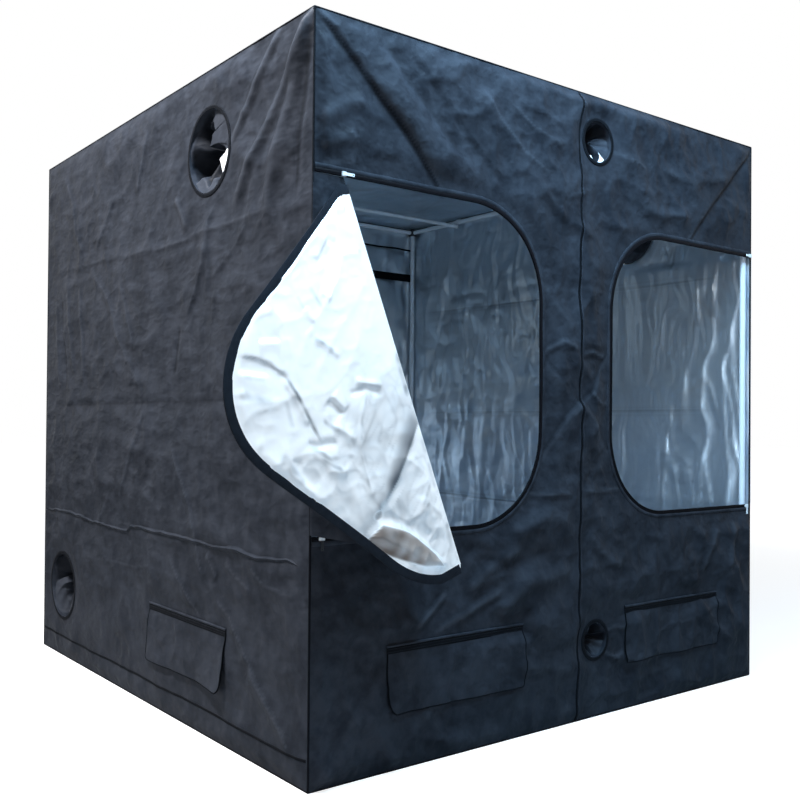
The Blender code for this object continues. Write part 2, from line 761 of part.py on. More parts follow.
class Crease:
    """The inclined crease of the left door: the fold's place in the cut leaf and in the air."""

    def __init__(self):
        self.axis = Vector((-HALF_WIDTH - LEAF_OFFSET, -HALF_DEPTH - LEAF_OFFSET, 0.0))
        self.top = Vector(
            (CREASE_TOP_FROM_CORNER - HALF_WIDTH, self.axis.y - LEAF_OFFSET, DOOR_TOP - LEAF_CLEARANCE)
        )
        self.down = Vector(
            (math.sin(CREASE_LEAN), -math.sin(CREASE_STANDOFF), -math.cos(CREASE_LEAN))
        ).normalized()
        flat_side = -self.down.cross(Vector((0, 1, 0))).normalized()
        self.side = Matrix.Rotation(-CREASE_OPEN, 3, self.down) @ flat_side
        self.back = self.down.cross(self.side)
        start = self.top.x + HALF_WIDTH - DOOR_HINGE_MARGIN
        self.start = Vector((start, self.top.z))
        self.cut = Vector((math.sin(CREASE_CUT_ANGLE), -math.cos(CREASE_CUT_ANGLE)))
        self.away = Vector((math.cos(CREASE_CUT_ANGLE), math.sin(CREASE_CUT_ANGLE)))
        self.outline = [Vector(spot) for spot in door_outline(LEFT_DOOR_WIDTH, -LEAF_CLEARANCE)]
        self.length = self.reach(self.start, self.cut)

    def reach(self, start, direction):
        """Distance from a point of the cut leaf to the leaf's edge."""
        best = 0.0
        spots = self.outline + self.outline[:1]
        for first, second in zip(spots, spots[1:]):
            edge = second - first
            cross = direction.x * edge.y - direction.y * edge.x
            if abs(cross) < MERGE * MERGE:
                continue
            offset = first - start
            along = (offset.x * edge.y - offset.y * edge.x) / cross
            share = (offset.x * direction.y - offset.y * direction.x) / cross
            if -MERGE <= share <= 1 + MERGE and along > best:
                best = along
        return best

    def width(self, along):
        return self.reach(self.start + self.cut * along, self.away)


FLAP_FOLD_SHARES = [
    ((0.20, 0.85), (0.42, 0.55), 0.8),
    ((0.42, 0.55), (0.62, 0.42), 0.8),
    ((0.45, 0.18), (0.90, 0.30), 1.0),
    ((0.70, 0.75), (0.95, 0.35), 0.7),
]


def ridge_height(along, across, first, second):
    """Height share of a soft fold that runs between two places of the leaf."""
    start = Vector(first)
    run = Vector(second) - start
    spot = Vector((along, across)) - start
    share = min(max(spot.dot(run) / run.length_squared, 0.0), 1.0)
    distance = (spot - run * share).length
    return math.exp(-((distance / FLAP_FOLD_WIDTH) ** 2))


def build_left_flap(crease):
    """The free leaf, turned back over the crease with its silver side out."""
    first = FLAP_START
    last = crease.length - FLAP_TIP
    widest = max(crease.width(crease.length * index / CREASE_STEPS) for index in range(CREASE_STEPS))

    def place(across, along):
        down = first + (last - first) * along
        reach = SEAT_GAP + (crease.width(down) - SEAT_GAP) * across
        share = reach / widest
        belly = FLAP_BELLY * math.sin(math.pi * along) * math.sin(math.pi / 2 * share)
        folds = 0.0
        for start, end, size in FLAP_FOLD_SHARES:
            first_spot = (start[0] * crease.length, start[1] * widest)
            second_spot = (end[0] * crease.length, end[1] * widest)
            folds += size * ridge_height(down, reach, first_spot, second_spot)
        lift = belly + FLAP_FOLD_HEIGHT * folds * min(share / FLAP_FOLD_EASE_SHARE, 1.0)
        flat = crease.top + crease.down * down + crease.side * reach
        return flat - crease.back * (LEAF_OFFSET - SEAT_GAP / 2 + lift)

    sheet_part(
        "left_door_flap", place, CREASE_ACROSS_STEPS, CREASE_STEPS,
        silver_material("left_door_flap"), crease.top
    )


def build_left_apron(crease):
    """The part of the left leaf that stays at the corner: it hangs slack behind the flap."""
    last = crease.length - FLAP_TIP
    low = DOOR_BOTTOM + APRON_LIFT

    def place(across, along):
        hinge = Vector((crease.axis.x, crease.axis.y, crease.top.z + (low - crease.top.z) * along))
        fold = crease.top + crease.down * (last * along)
        fold += crease.side * SEAT_GAP + crease.back * (LEAF_OFFSET - SEAT_GAP / 2)
        spot = hinge.lerp(fold, across)
        wave = APRON_WAVE * math.sin(math.pi / 2 * along) * math.sin(math.tau * across)
        ease = min((1.0 - across) / APRON_EASE_SHARE, 1.0)
        return spot + Vector((0.0, -wave * ease, 0.0))

    hinge_foot = (crease.axis.x, crease.axis.y, DOOR_BOTTOM)
    sheet_part(
        "left_door_apron", place, APRON_STEPS_ACROSS, APRON_STEPS_DOWN,
        canvas_material("left_door_apron"), hinge_foot
    )


def build_right_door():
    """The right leaf, swung open round the corner and hanging beside the right wall."""
    axis_x = HALF_WIDTH + LEAF_OFFSET
    axis_y = -HALF_DEPTH - LEAF_OFFSET
    low = DOOR_BOTTOM + LEAF_CLEARANCE
    high = DOOR_TOP - LEAF_CLEARANCE
    full = RIGHT_DOOR_WIDTH + DOOR_HINGE_MARGIN + LEAF_OFFSET - LEAF_CLEARANCE
    radius = DOOR_RADIUS - LEAF_CLEARANCE

    def width(height):
        edge = max(low + radius - height, height - high + radius, 0.0)
        return full - radius + math.sqrt(max(radius ** 2 - edge ** 2, 0.0))

    first = 1 / RIGHT_LEAF_STEPS_ACROSS
    strip = RIGHT_LEAF_FLAT_STRIP

    def place(across, along):
        height = low + (high - low) * along
        away = max(strip + (width(height) - strip) * (across - first) / (1.0 - first), 0.0)
        if across < first / 2:
            away = 0.0
        rise = min(max((away - strip) / RIGHT_LEAF_RISE, 0.0), 1.0)
        turn = math.tau * RIGHT_LEAF_FOLDS * across + RIGHT_LEAF_DRIFT * along
        folds = 1.0 - RIGHT_LEAF_DEEPEST_SHARE * (1.0 - math.cos(turn))
        sag = 1.0 - RIGHT_LEAF_TAPER_SHARE * along
        lift = RIGHT_LEAF_RELIEF * rise * folds * sag
        return Vector((axis_x + lift, axis_y + away, height))

    sheet_part(
        "right_door", place, RIGHT_LEAF_STEPS_ACROSS, RIGHT_LEAF_STEPS_UP,
        silver_material("right_door"), (axis_x, axis_y, DOOR_BOTTOM)
    )


def main():
    build_frame()
    hanging_bar("hanging_bar_front", -BAR_FROM_MIDDLE)
    hanging_bar("hanging_bar_rear", BAR_FROM_MIDDLE)
    build_front_and_rear()
    build_side_walls()
    build_roof_and_floor()
    build_tray()
    build_strap()
    build_zips()
    crease = Crease()
    build_left_flap(crease)
    build_left_apron(crease)
    build_right_door()
    bpy.context.view_layer.update()
    print("crease top", [round(value, 5) for value in crease.top])
    print("crease direction", [round(value, 5) for value in crease.down])
    print("crease length", round(crease.length, 4))


main()
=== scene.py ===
"""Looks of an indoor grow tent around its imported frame: creased canvas, silver film, zips, covers and sleeves.

Metres, +Z up, in the frame of the solids: the two doors face -Y and the tent stands on z = 0.
"""

import json
import math

import bmesh
import bpy
import numpy as np
from mathutils import Matrix, Vector


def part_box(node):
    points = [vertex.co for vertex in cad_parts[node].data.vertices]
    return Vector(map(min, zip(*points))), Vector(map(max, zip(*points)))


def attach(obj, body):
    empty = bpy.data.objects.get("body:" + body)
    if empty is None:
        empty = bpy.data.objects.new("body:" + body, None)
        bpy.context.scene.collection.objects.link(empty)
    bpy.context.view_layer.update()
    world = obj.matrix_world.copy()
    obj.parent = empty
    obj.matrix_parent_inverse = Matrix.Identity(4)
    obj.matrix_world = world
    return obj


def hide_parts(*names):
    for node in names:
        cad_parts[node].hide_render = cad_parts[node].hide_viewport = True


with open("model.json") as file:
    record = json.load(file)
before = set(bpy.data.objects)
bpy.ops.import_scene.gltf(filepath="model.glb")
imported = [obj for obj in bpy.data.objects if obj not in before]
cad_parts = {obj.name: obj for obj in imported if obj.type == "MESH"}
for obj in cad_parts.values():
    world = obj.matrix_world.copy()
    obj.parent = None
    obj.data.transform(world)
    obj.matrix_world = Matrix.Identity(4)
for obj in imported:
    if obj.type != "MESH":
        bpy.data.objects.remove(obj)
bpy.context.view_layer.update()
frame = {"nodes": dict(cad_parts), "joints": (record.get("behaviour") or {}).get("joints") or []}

MM = 0.001
TINY = 1e-6

# Camera, solved from the corner lines of the photograph
CAMERA_PLACE = (-2.346, -3.012, 0.933)
CAMERA_YAW = math.radians(36.77)
CAMERA_PITCH = math.radians(0.584)
CAMERA_ROLL = math.radians(0.471)
CAMERA_LENS = 42.92
CAMERA_SHIFT_X = 0.0491
CAMERA_SHIFT_Y = 0.0190

# Cloth and trims
CLOTH = 2 * MM
CELL_FINE = 7 * MM
CELL_LEFT = 9.2 * MM
CELL_PLAIN = 14 * MM
GAP = 0.3 * MM
ZIP_TAPE = 12 * MM
COLLAR_WIDTH = 12 * MM
DOOR_RADIUS = 0.27
HINGE_MARGIN = 5 * MM

# Sizes read from the frame
ROOF_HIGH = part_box("roof_panel")[1]
HALF = ROOF_HIGH.x
HEIGHT = ROOF_HIGH.z
SEAM_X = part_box("front_left_panel")[1].x
DOOR_HINGE = HALF - HINGE_MARGIN


def door_sizes(track, inner_side):
    """(edge by the seam, low edge, high edge) of a doorway, from its zip tape."""
    low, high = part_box(track)
    seam_edge = high.x - ZIP_TAPE if inner_side > 0 else low.x + ZIP_TAPE
    return seam_edge, low.z + ZIP_TAPE, high.z - ZIP_TAPE


LEFT_DOOR_SEAM, DOOR_LOW, DOOR_HIGH = door_sizes("left_zip_track", 1)
RIGHT_DOOR_SEAM = door_sizes("right_zip_track", -1)[0]


# Noise and shaping functions over arrays

def smooth(share):
    share = np.clip(share, 0.0, 1.0)
    return share * share * (3 - 2 * share)


def noise(x, y, size, seed):
    """Smooth noise from -1 to 1 with features about size metres across."""
    count = 64
    table = np.random.default_rng(seed).uniform(-1.0, 1.0, (count, count))
    u = np.asarray(x) / size + 7.3
    v = np.asarray(y) / size + 3.1
    i = np.floor(u).astype(int)
    j = np.floor(v).astype(int)
    a = smooth(u - i)
    b = smooth(v - j)
    low = table[i % count, j % count] * (1 - a) + table[(i + 1) % count, j % count] * a
    high = table[i % count, (j + 1) % count] * (1 - a) + table[(i + 1) % count, (j + 1) % count] * a
    return low * (1 - b) + high * b


def turned_noise(x, y, along, across, angle, seed):
    """Noise stretched in one direction, as pulled cloth shows."""
    u = x * math.cos(angle) + y * math.sin(angle)
    v = -x * math.sin(angle) + y * math.cos(angle)
    return noise(u / along, v / across, 1.0, seed)


def ridges(value):
    """Turns smooth noise into narrow crests where it passes through zero."""
    return (1.0 - np.abs(value)) ** 3


def soft_ridges(value):
    """Rounded crests with gentler sides than ridges."""
    share = 1.0 - np.sqrt(value * value + 0.004)
    return share * share


def polyline_distance(x, y, points):
    """(distance, signed distance, share along) from a polyline; the left of its run is positive."""
    runs = [math.dist(a, b) for a, b in zip(points, points[1:])]
    total = sum(runs)
    best = np.full(np.shape(x), 1e9)
    signed = np.zeros(np.shape(x))
    share = np.zeros(np.shape(x))
    done = 0.0
    for (x0, y0), (x1, y1), run in zip(points, points[1:], runs):
        dx = (x1 - x0) / run
        dy = (y1 - y0) / run
        along = np.clip((x - x0) * dx + (y - y0) * dy, 0.0, run)
        off_x = x - (x0 + along * dx)
        off_y = y - (y0 + along * dy)
        distance = np.hypot(off_x, off_y)
        nearer = distance < best
        best = np.where(nearer, distance, best)
        signed = np.where(nearer, np.copysign(distance, dx * off_y - dy * off_x), signed)
        share = np.where(nearer, (done + along) / total, share)
        done += run
    return best, signed, share


FOLD_SPREAD = 2.4
CUSP = 6 * MM
STEP_REACH = 9.0


def crease(x, y, kind, height, width, points):
    """Height of one crease: soft, pressed, a fold steep on its left, a step or a facet raised on its left."""
    distance, signed, share = polyline_distance(x, y, points)
    fade = smooth(share * 6) * smooth((1 - share) * 6)
    if kind == "soft":
        return height * fade * np.exp(-(distance / width) ** 2)
    rounded = np.hypot(distance, CUSP) - CUSP
    if kind == "pressed":
        return height * fade * np.exp(-rounded / width)
    if kind == "fold":
        side = np.where(signed > 0, width, FOLD_SPREAD * width)
        return height * fade * np.exp(-rounded / side) * np.exp(-(distance / (4 * side)) ** 2)
    if kind == "step":
        rise = 0.5 + 0.5 * np.tanh(signed / width)
        return height * fade * rise * np.exp(-(np.maximum(signed, 0.0) / (STEP_REACH * width)) ** 2)
    reach = 6 * width
    return height * fade * np.tanh(signed / width) * np.exp(-(distance / reach) ** 2)


# Sides of the tent

# Slack of the cloth: height and breadth of its waves
WARP = (0.03, 0.21)
BROAD = (10 * MM, 0.42)
MIDDLE = (12 * MM, 0.26)
MOTTLES = ((7 * MM, 0.13), (4.4 * MM, 0.075), (2.2 * MM, 0.045))
MOTTLE_SINK = 3 * MM

# Folds of pulled cloth: height, length, breadth and first seed
STREAKS = ((8 * MM, 0.34, 0.085, 10), (1.2 * MM, 0.20, 0.045, 30))
PULL_SPREAD = 0.4

# What holds the cloth flat: reach, width of the ease beyond it and the share of the relief that is left
RING_HOLD = (10 * MM, 70 * MM, 0.08)
BAND_HOLD = (0.0, 45 * MM, 0.12)
DOOR_HOLD = (25 * MM, 80 * MM, 0.12)
BAND_HALF = 14 * MM
EDGE_START = 4 * MM
EDGE_EASE = 45 * MM
STRAIGHT_REACH = 55 * MM
STRAIGHT_CALM = 0.8
COVERED_EASE = 40 * MM

# How far the cloth can sink toward the frame: at its edges and further in
SINK_AT_EDGE = 3 * MM
SINK_FURTHER = 6 * MM
SINK_START = 50 * MM
SINK_EASE = 60 * MM
CREST_CURVE = 60.0


def held(away, reach, ease, left):
    """Share of the relief at a distance away from what holds the cloth."""
    return left + (1 - left) * smooth((away - reach) / ease)


class Side:
    """A side of the tent: x runs to the right of someone who looks at it, y upward, out outward."""

    def __init__(self, origin, right, up, seed, creases, slack=1.0, pulls=(1.2, 1.85, 0.4), drape=1.0,
                 stretch=1.0):
        self.origin = np.array(origin, float)
        self.right = np.array(right, float)
        self.up = np.array(up, float)
        self.out = np.cross(self.right, self.up)
        self.seed = seed
        self.creases = creases
        self.slack = slack
        self.pulls = pulls
        self.drape = drape
        self.stretch = stretch
        self.span = (0.0, HEIGHT)
        self.rings = []
        self.covered = []
        self.doorways = []
        self.straight = []
        self.hinges = []

    def relief(self, x, y):
        """Distance that the cloth stands out from the flat side: slack, tension folds and named creases."""
        x = np.asarray(x, float)
        y = np.asarray(y, float)
        seed = self.seed
        warp_x = x / self.stretch + WARP[0] * noise(x, y, WARP[1], seed + 1)
        warp_y = y + WARP[0] * noise(x, y, WARP[1], seed + 2)
        total = BROAD[0] * noise(x, y, BROAD[1], seed + 3) - MOTTLE_SINK
        total = total + MIDDLE[0] * soft_ridges(noise(warp_x, warp_y, MIDDLE[1], seed + 4))
        for index, (height, size) in enumerate(MOTTLES):
            total = total + height * ridges(noise(warp_x, warp_y, size, seed + 5 + index))
        for index, angle in enumerate(self.pulls):
            where = self.drape * smooth(noise(x, y, PULL_SPREAD, seed + 20 + index) * 1.8 + 0.3)
            for height, along, across, first in STREAKS:
                streak = turned_noise(warp_x, warp_y, along, across, angle, seed + first + index)
                total = total + where * height * soft_ridges(streak)
        total = total * self.slack
        for points in self.straight:
            distance = polyline_distance(x, y, points)[0]
            total = total * (1 - STRAIGHT_CALM * np.exp(-(distance / STRAIGHT_REACH) ** 2))
        total = total + self.creased(x, y)
        for box in self.covered:
            behind = smooth(1.0 - box_distance(*box)(x, y) / COVERED_EASE)
            total = total - behind * np.maximum(total, 0.0)
        edge = -box_distance(-HALF, self.span[0], HALF, self.span[1])(x, y)
        total = total * smooth((edge + EDGE_START) / EDGE_EASE) * self.calm(x, y)
        limit = SINK_AT_EDGE + SINK_FURTHER * smooth((edge - SINK_START) / SINK_EASE)
        return np.where(total < 0, -limit * np.tanh(-total / limit), total)

    def calm(self, x, y):
        """Share of the relief that ports' rings, covers' sewn bands and doorways leave."""
        kept = np.ones(x.shape)
        for ring in self.rings:
            kept = kept * held(circle_distance(*ring)(x, y), *RING_HOLD)
        for left, right, height in self.hinges:
            away = np.maximum(np.maximum(left - x, x - right), np.abs(y - height) - BAND_HALF)
            kept = kept * held(away, *BAND_HOLD)
        for doorway in self.doorways:
            kept = kept * held(np.abs(doorway(x, y)), *DOOR_HOLD)
        return kept

    def creased(self, x, y):
        total = np.zeros(x.shape)
        for kind, height, width, points in self.creases:
            total = total + crease(x, y, kind, height * MM, width * MM, points)
        return total

    def tone(self, x, y):
        """Scuffs and painted light of the cloth's face: 1 on worn crests with a painted highlight, -1 in sharp
        hollows as painted shade.
        """
        step = 6 * MM
        around = (
            self.creased(x + step, y) + self.creased(x - step, y)
            + self.creased(x, y + step) + self.creased(x, y - step)
        )
        curve = (4 * self.creased(x, y) - around) / step ** 2
        return np.clip(curve / CREST_CURVE, -1.0, 1.0)

    def place(self, x, y, lift=0.0):
        """World points on the cloth, lifted outward."""
        x = np.asarray(x, float)
        y = np.asarray(y, float)
        out = self.relief(x, y) + lift
        return self.flat(x, y, out)

    def flat(self, x, y, out=0.0):
        x = np.asarray(x, float)[..., None]
        y = np.asarray(y, float)[..., None]
        out = np.broadcast_to(np.asarray(out, float)[..., None], x.shape)
        return self.origin + x * self.right + y * self.up + out * self.out


# Creases seen in the photograph: kind, height and width in millimetres, points as (x, y) on the side

LEFT_BASE_SEAM = 0.08

LEFT_CREASES = [
    ("step", -10, 28, [(1.04, 2.05), (0.99, 2.00), (0.87, 1.91), (0.75, 1.80), (0.62, 1.72), (0.45, 1.61),
                       (0.36, 1.55)]),
    ("soft", 16, 32, [(1.06, 2.06), (0.95, 1.90), (0.86, 1.74), (0.80, 1.56), (0.78, 1.44)]),
    ("soft", 14, 22, [(1.06, 2.06), (0.90, 1.88), (0.76, 1.74), (0.64, 1.62), (0.56, 1.54)]),
    ("soft", -9, 18, [(1.03, 2.07), (0.97, 1.86), (0.93, 1.68), (0.91, 1.50)]),
    ("step", -8, 20, [(0.80, 2.06), (0.70, 1.97), (0.65, 1.91), (0.57, 1.82), (0.46, 1.74), (0.36, 1.68)]),
    ("soft", 10, 16, [(0.88, 2.04), (0.74, 1.90), (0.62, 1.79), (0.46, 1.68)]),
    ("fold", 4.0, 7, [(0.995, 1.50), (0.75, 1.52), (0.42, 1.52), (0.20, 1.51), (-0.11, 1.52), (-0.42, 1.54),
                      (-0.995, 1.55)]),
    ("fold", 6.0, 10, [(0.02, 1.93), (-0.04, 1.83), (-0.10, 1.72)]),
    ("fold", 5.0, 9, [(-0.28, 1.75), (-0.37, 1.65), (-0.47, 1.57)]),
    ("fold", 6.0, 12, [(-0.77, 1.92), (-0.68, 1.78), (-0.64, 1.66), (-0.55, 1.57)]),
    ("fold", 5.0, 11, [(-0.52, 1.53), (-0.33, 1.39), (-0.26, 1.27), (-0.17, 1.17), (-0.06, 1.08),
                       (0.02, 1.00)]),
    ("fold", 4.5, 9, [(-0.23, 1.46), (-0.17, 1.32), (-0.10, 1.19)]),
    ("fold", 8.0, 13, [(0.49, 1.62), (0.44, 1.55), (0.41, 1.44), (0.36, 1.36), (0.27, 1.24)]),
    ("soft", -6, 16, [(0.24, 1.25), (0.20, 1.08)]),
    ("soft", 6, 14, [(0.22, 1.66), (0.30, 1.54)]),
    ("fold", 5.0, 10, [(0.68, 1.51), (0.59, 1.44), (0.45, 1.37)]),
    ("fold", -3.4, 8, [(-0.995, 1.00), (-0.10, 1.00), (0.39, 1.00), (0.93, 1.01)]),
    ("fold", 5.0, 10, [(0.01, 1.01), (-0.05, 0.89), (-0.14, 0.77), (-0.20, 0.66)]),
    ("fold", 4.0, 9, [(-0.28, 0.67), (-0.40, 0.56)]),
    ("fold", 6.0, 9, [(0.20, 0.88), (0.27, 0.78), (0.33, 0.70), (0.38, 0.60), (0.40, 0.52), (0.45, 0.45)]),
    ("fold", 4.0, 10, [(-0.55, 0.44), (-0.45, 0.43), (-0.23, 0.44), (-0.08, 0.44), (0.05, 0.46),
                       (0.14, 0.39)]),
    ("fold", 6.0, 10, [(0.18, 0.52), (0.27, 0.45), (0.35, 0.39), (0.43, 0.33)]),
    ("fold", 5.0, 9, [(0.45, 0.55), (0.52, 0.48)]),
    ("fold", 5.5, 10, [(0.56, 0.54), (0.63, 0.50), (0.73, 0.47)]),
    ("fold", 5.5, 10, [(0.70, 0.55), (0.79, 0.50), (0.89, 0.49), (0.97, 0.49)]),
    ("fold", 6.0, 12, [(0.49, 0.43), (0.59, 0.38), (0.65, 0.32), (0.71, 0.27), (0.76, 0.21)]),
    ("fold", 11.0, 12, [(0.70, 0.27), (0.75, 0.22), (0.81, 0.18), (0.87, 0.14), (0.94, 0.08)]),
    ("soft", 5.0, 18, [(-0.90, 1.47), (-0.84, 1.20), (-0.80, 1.03)]),
    ("soft", 5.0, 15, [(-0.76, 1.50), (-0.72, 1.30), (-0.66, 1.10)]),
    ("soft", 5.0, 14, [(-0.62, 1.48), (-0.58, 1.25), (-0.56, 1.08)]),
    ("soft", -4.0, 14, [(-0.84, 1.48), (-0.78, 1.22), (-0.74, 1.05)]),
]

MAIN_FOLD = [(-1.08, 2.07), (-0.985, 1.99), (-0.86, 1.88), (-0.77, 1.80), (-0.69, 1.73), (-0.62, 1.65),
             (-0.53, 1.56), (-0.45, 1.48)]
CORNER_FOLD = [(0.52, 1.50), (0.58, 1.57), (0.71, 1.72), (0.84, 1.84), (1.02, 2.02)]
FRONT_CREASES = [
    ("step", 12.0, 7, MAIN_FOLD),
    ("step", 12.0, 15, [(-0.83, 1.865), (-0.755, 1.80), (-0.675, 1.73), (-0.60, 1.65), (-0.51, 1.56),
                        (-0.43, 1.48)]),
    ("soft", -9.0, 26, [(-0.80, 1.99), (-0.68, 1.87), (-0.57, 1.78), (-0.46, 1.68)]),
    ("step", -9.0, 12, [(-0.26, 1.62), (-0.40, 1.72), (-0.56, 1.86), (-0.72, 1.98)]),
    ("fold", 7.0, 12, [(-0.42, 1.93), (-0.34, 1.84), (-0.24, 1.76), (-0.12, 1.70)]),
    ("fold", 6.0, 11, [(-0.30, 1.90), (-0.20, 1.84), (-0.06, 1.80)]),
    ("soft", 7.0, 20, [(-0.99, 1.71), (-0.90, 1.77), (-0.83, 1.79)]),
    ("soft", 7.0, 18, [(-0.99, 1.64), (-0.86, 1.70)]),
    ("soft", 6.0, 14, [(-0.98, 1.60), (-0.86, 1.63)]),
    ("fold", 6.0, 10, [(0.015, 1.97), (0.05, 1.92), (0.10, 1.89)]),
    ("step", 10.0, 7, CORNER_FOLD),
    ("fold", 6.0, 14, [(0.16, 1.84), (0.28, 1.82), (0.37, 1.80)]),
    ("soft", 8.0, 24, [(0.42, 1.83), (0.60, 1.80), (0.86, 1.86)]),
    ("soft", 7.0, 24, [(0.22, 1.72), (0.42, 1.66), (0.62, 1.69)]),
    ("soft", 7.0, 20, [(-0.15, 1.38), (-0.10, 1.32), (-0.05, 1.27), (-0.02, 1.22)]),
    ("soft", 5.0, 11, [(-0.16, 1.150), (-0.11, 1.18), (-0.07, 1.20), (-0.03, 1.19), (0.00, 1.17)]),
    ("soft", 5.0, 10, [(0.01, 1.16), (0.07, 1.17), (0.15, 1.16)]),
    ("step", 8.0, 9, [(0.04, 0.97), (0.01, 1.00), (-0.06, 1.06), (-0.11, 1.11), (-0.165, 1.175),
                      (-0.19, 1.21)]),
    ("step", -8.0, 9, [(-0.03, 0.97), (0.00, 1.00), (0.06, 1.04), (0.09, 1.08), (0.11, 1.12), (0.21, 1.22)]),
    ("step", -8.0, 9, [(-0.20, 0.77), (-0.17, 0.82), (-0.10, 0.90), (-0.06, 0.96), (0.02, 1.03)]),
    ("step", 8.0, 9, [(0.23, 0.77), (0.20, 0.82), (0.14, 0.88), (0.09, 0.94), (0.00, 1.03)]),
    ("soft", 4.0, 9, [(0.06, 1.05), (0.09, 1.02), (0.13, 1.005), (0.175, 1.02)]),
    ("fold", 6.0, 8, [(-0.02, 0.725), (-0.14, 0.725), (-0.26, 0.735)]),
    ("fold", 6.0, 8, [(0.24, 0.735), (0.13, 0.725), (0.02, 0.73)]),
    ("step", -12.0, 18, [(-0.555, 0.38), (-0.53, 0.45), (-0.47, 0.54), (-0.39, 0.61), (-0.25, 0.72)]),
    ("soft", 8.0, 15, [(-0.60, 0.35), (-0.53, 0.37), (-0.42, 0.41), (-0.30, 0.46)]),
    ("soft", 7.0, 13, [(-0.66, 0.37), (-0.58, 0.42), (-0.52, 0.47)]),
    ("soft", 9.0, 22, [(-0.46, 0.45), (-0.36, 0.52), (-0.24, 0.57)]),
    ("step", -9.0, 14, [(-1.02, -0.02), (-0.94, 0.08), (-0.89, 0.15), (-0.83, 0.21), (-0.70, 0.33)]),
    ("soft", 7.0, 26, [(-0.76, 0.01), (-0.66, 0.10), (-0.52, 0.19)]),
    ("step", -11.0, 15, [(0.66, 0.32), (0.61, 0.36), (0.51, 0.45), (0.44, 0.54), (0.30, 0.70)]),
    ("soft", 9.0, 20, [(0.79, 0.58), (0.72, 0.50), (0.67, 0.40)]),
    ("soft", 9.0, 20, [(0.88, 0.60), (0.83, 0.42)]),
    ("soft", 13.0, 30, [(-0.36, 0.36), (-0.23, 0.46), (-0.14, 0.47), (-0.02, 0.50)]),
    ("soft", 10.0, 26, [(-0.30, 0.62), (-0.16, 0.66), (-0.02, 0.64)]),
    ("soft", 8.0, 20, [(0.05, 0.60), (0.14, 0.52), (0.24, 0.47)]),
    ("soft", 8.0, 24, [(-0.28, 0.22), (-0.10, 0.19), (0.00, 0.17)]),
    ("soft", -8.0, 26, [(-0.50, 0.60), (-0.30, 0.52), (-0.10, 0.56)]),
    ("soft", 5.0, 11, [(0.155, 0.27), (0.20, 0.28), (0.26, 0.27)]),
    ("soft", 5.0, 11, [(0.145, 0.21), (0.20, 0.18), (0.26, 0.19)]),
]

REAR_CREASES = [
    ("pressed", 2.4, 8, [(-0.97, 1.52), (-0.20, 1.50), (0.97, 1.53)]),
    ("pressed", 2.4, 8, [(-0.97, 1.00), (0.97, 1.00)]),
    ("pressed", 2.4, 8, [(-0.97, 0.56), (0.40, 0.57), (0.97, 0.55)]),
    ("facet", 2.4, 14, [(0.95, 1.95), (0.60, 1.62), (0.30, 1.30)]),
    ("facet", 2.4, 14, [(-0.30, 1.20), (-0.62, 1.60), (-0.95, 1.95)]),
    ("soft", 3.0, 24, [(-0.80, 0.20), (-0.40, 0.50)]),
]

RIGHT_CREASES = [
    ("pressed", 2.4, 8, [(-0.97, 1.52), (0.20, 1.53), (0.97, 1.54)]),
    ("pressed", 2.4, 8, [(-0.97, 1.00), (0.97, 1.00)]),
    ("pressed", 3.4, 8, [(-0.97, 0.58), (0.20, 0.57), (0.97, 0.58)]),
    ("facet", 2.4, 14, [(-0.50, 1.55), (-0.62, 1.75), (-0.90, 1.95)]),
    ("facet", 2.0, 10, [(0.30, 0.95), (0.10, 0.60)]),
]

ROOF_CREASES = [
    ("pressed", 2.0, 8, [(-0.97, 0.33), (0.97, 0.33)]),
    ("pressed", 2.0, 8, [(-0.97, -0.34), (0.97, -0.34)]),
    ("pressed", 2.0, 8, [(0.0, -0.97), (0.0, 0.97)]),
    ("facet", 3.0, 30, [(-0.90, -0.90), (0.90, 0.85)]),
]

FRONT = Side((0, -HALF, 0), (1, 0, 0), (0, 0, 1), 100, FRONT_CREASES, 1.0, (-0.9, -0.5, 1.9))
REAR = Side((0, HALF, 0), (-1, 0, 0), (0, 0, 1), 200, REAR_CREASES)
LEFT = Side((-HALF, 0, 0), (0, -1, 0), (0, 0, 1), 300, LEFT_CREASES, 0.70, (1.0, 1.35, 1.75), 0.25, 1.7)
RIGHT = Side((HALF, 0, 0), (0, 1, 0), (0, 0, 1), 400, RIGHT_CREASES, 0.8, (1.35, 1.75, 1.5))
ROOF = Side((0, 0, HEIGHT), (1, 0, 0), (0, 1, 0), 500, ROOF_CREASES, 0.5)
ROOF.span = (-HALF, HALF)
FRONT.straight = [MAIN_FOLD, CORNER_FOLD]


# Outlines as signed distances: negative inside the cut

def door_distance(hinge_sign, seam_edge):
    """Distance to the D-shaped doorway whose straight edge lies by the corner."""
    reach = abs(DOOR_HINGE * hinge_sign - seam_edge)
    middle_y = (DOOR_LOW + DOOR_HIGH) / 2
    half_y = (DOOR_HIGH - DOOR_LOW) / 2

    def distance(x, y):
        along = (DOOR_HINGE * hinge_sign - x) * hinge_sign
        u = along - (reach - DOOR_RADIUS)
        v = np.abs(y - middle_y) - (half_y - DOOR_RADIUS)
        corner = np.hypot(np.maximum(u, 0), np.maximum(v, 0)) + np.minimum(np.maximum(u, v), 0)
        return np.maximum(corner - DOOR_RADIUS, -along)

    return distance


def circle_distance(middle_x, middle_y, radius):
    return lambda x, y: np.hypot(x - middle_x, y - middle_y) - radius


def box_distance(low_x, low_y, high_x, high_y):
    def distance(x, y):
        return np.maximum(np.maximum(low_x - x, x - high_x), np.maximum(low_y - y, y - high_y))

    return distance


def outside_all(cuts):
    """Distance to the nearest of several cuts."""
    def distance(x, y):
        nearest = np.full(np.shape(x), 1.0)
        for cut in cuts:
            nearest = np.minimum(nearest, cut(x, y))
        return nearest

    return distance


# Meshes from arrays

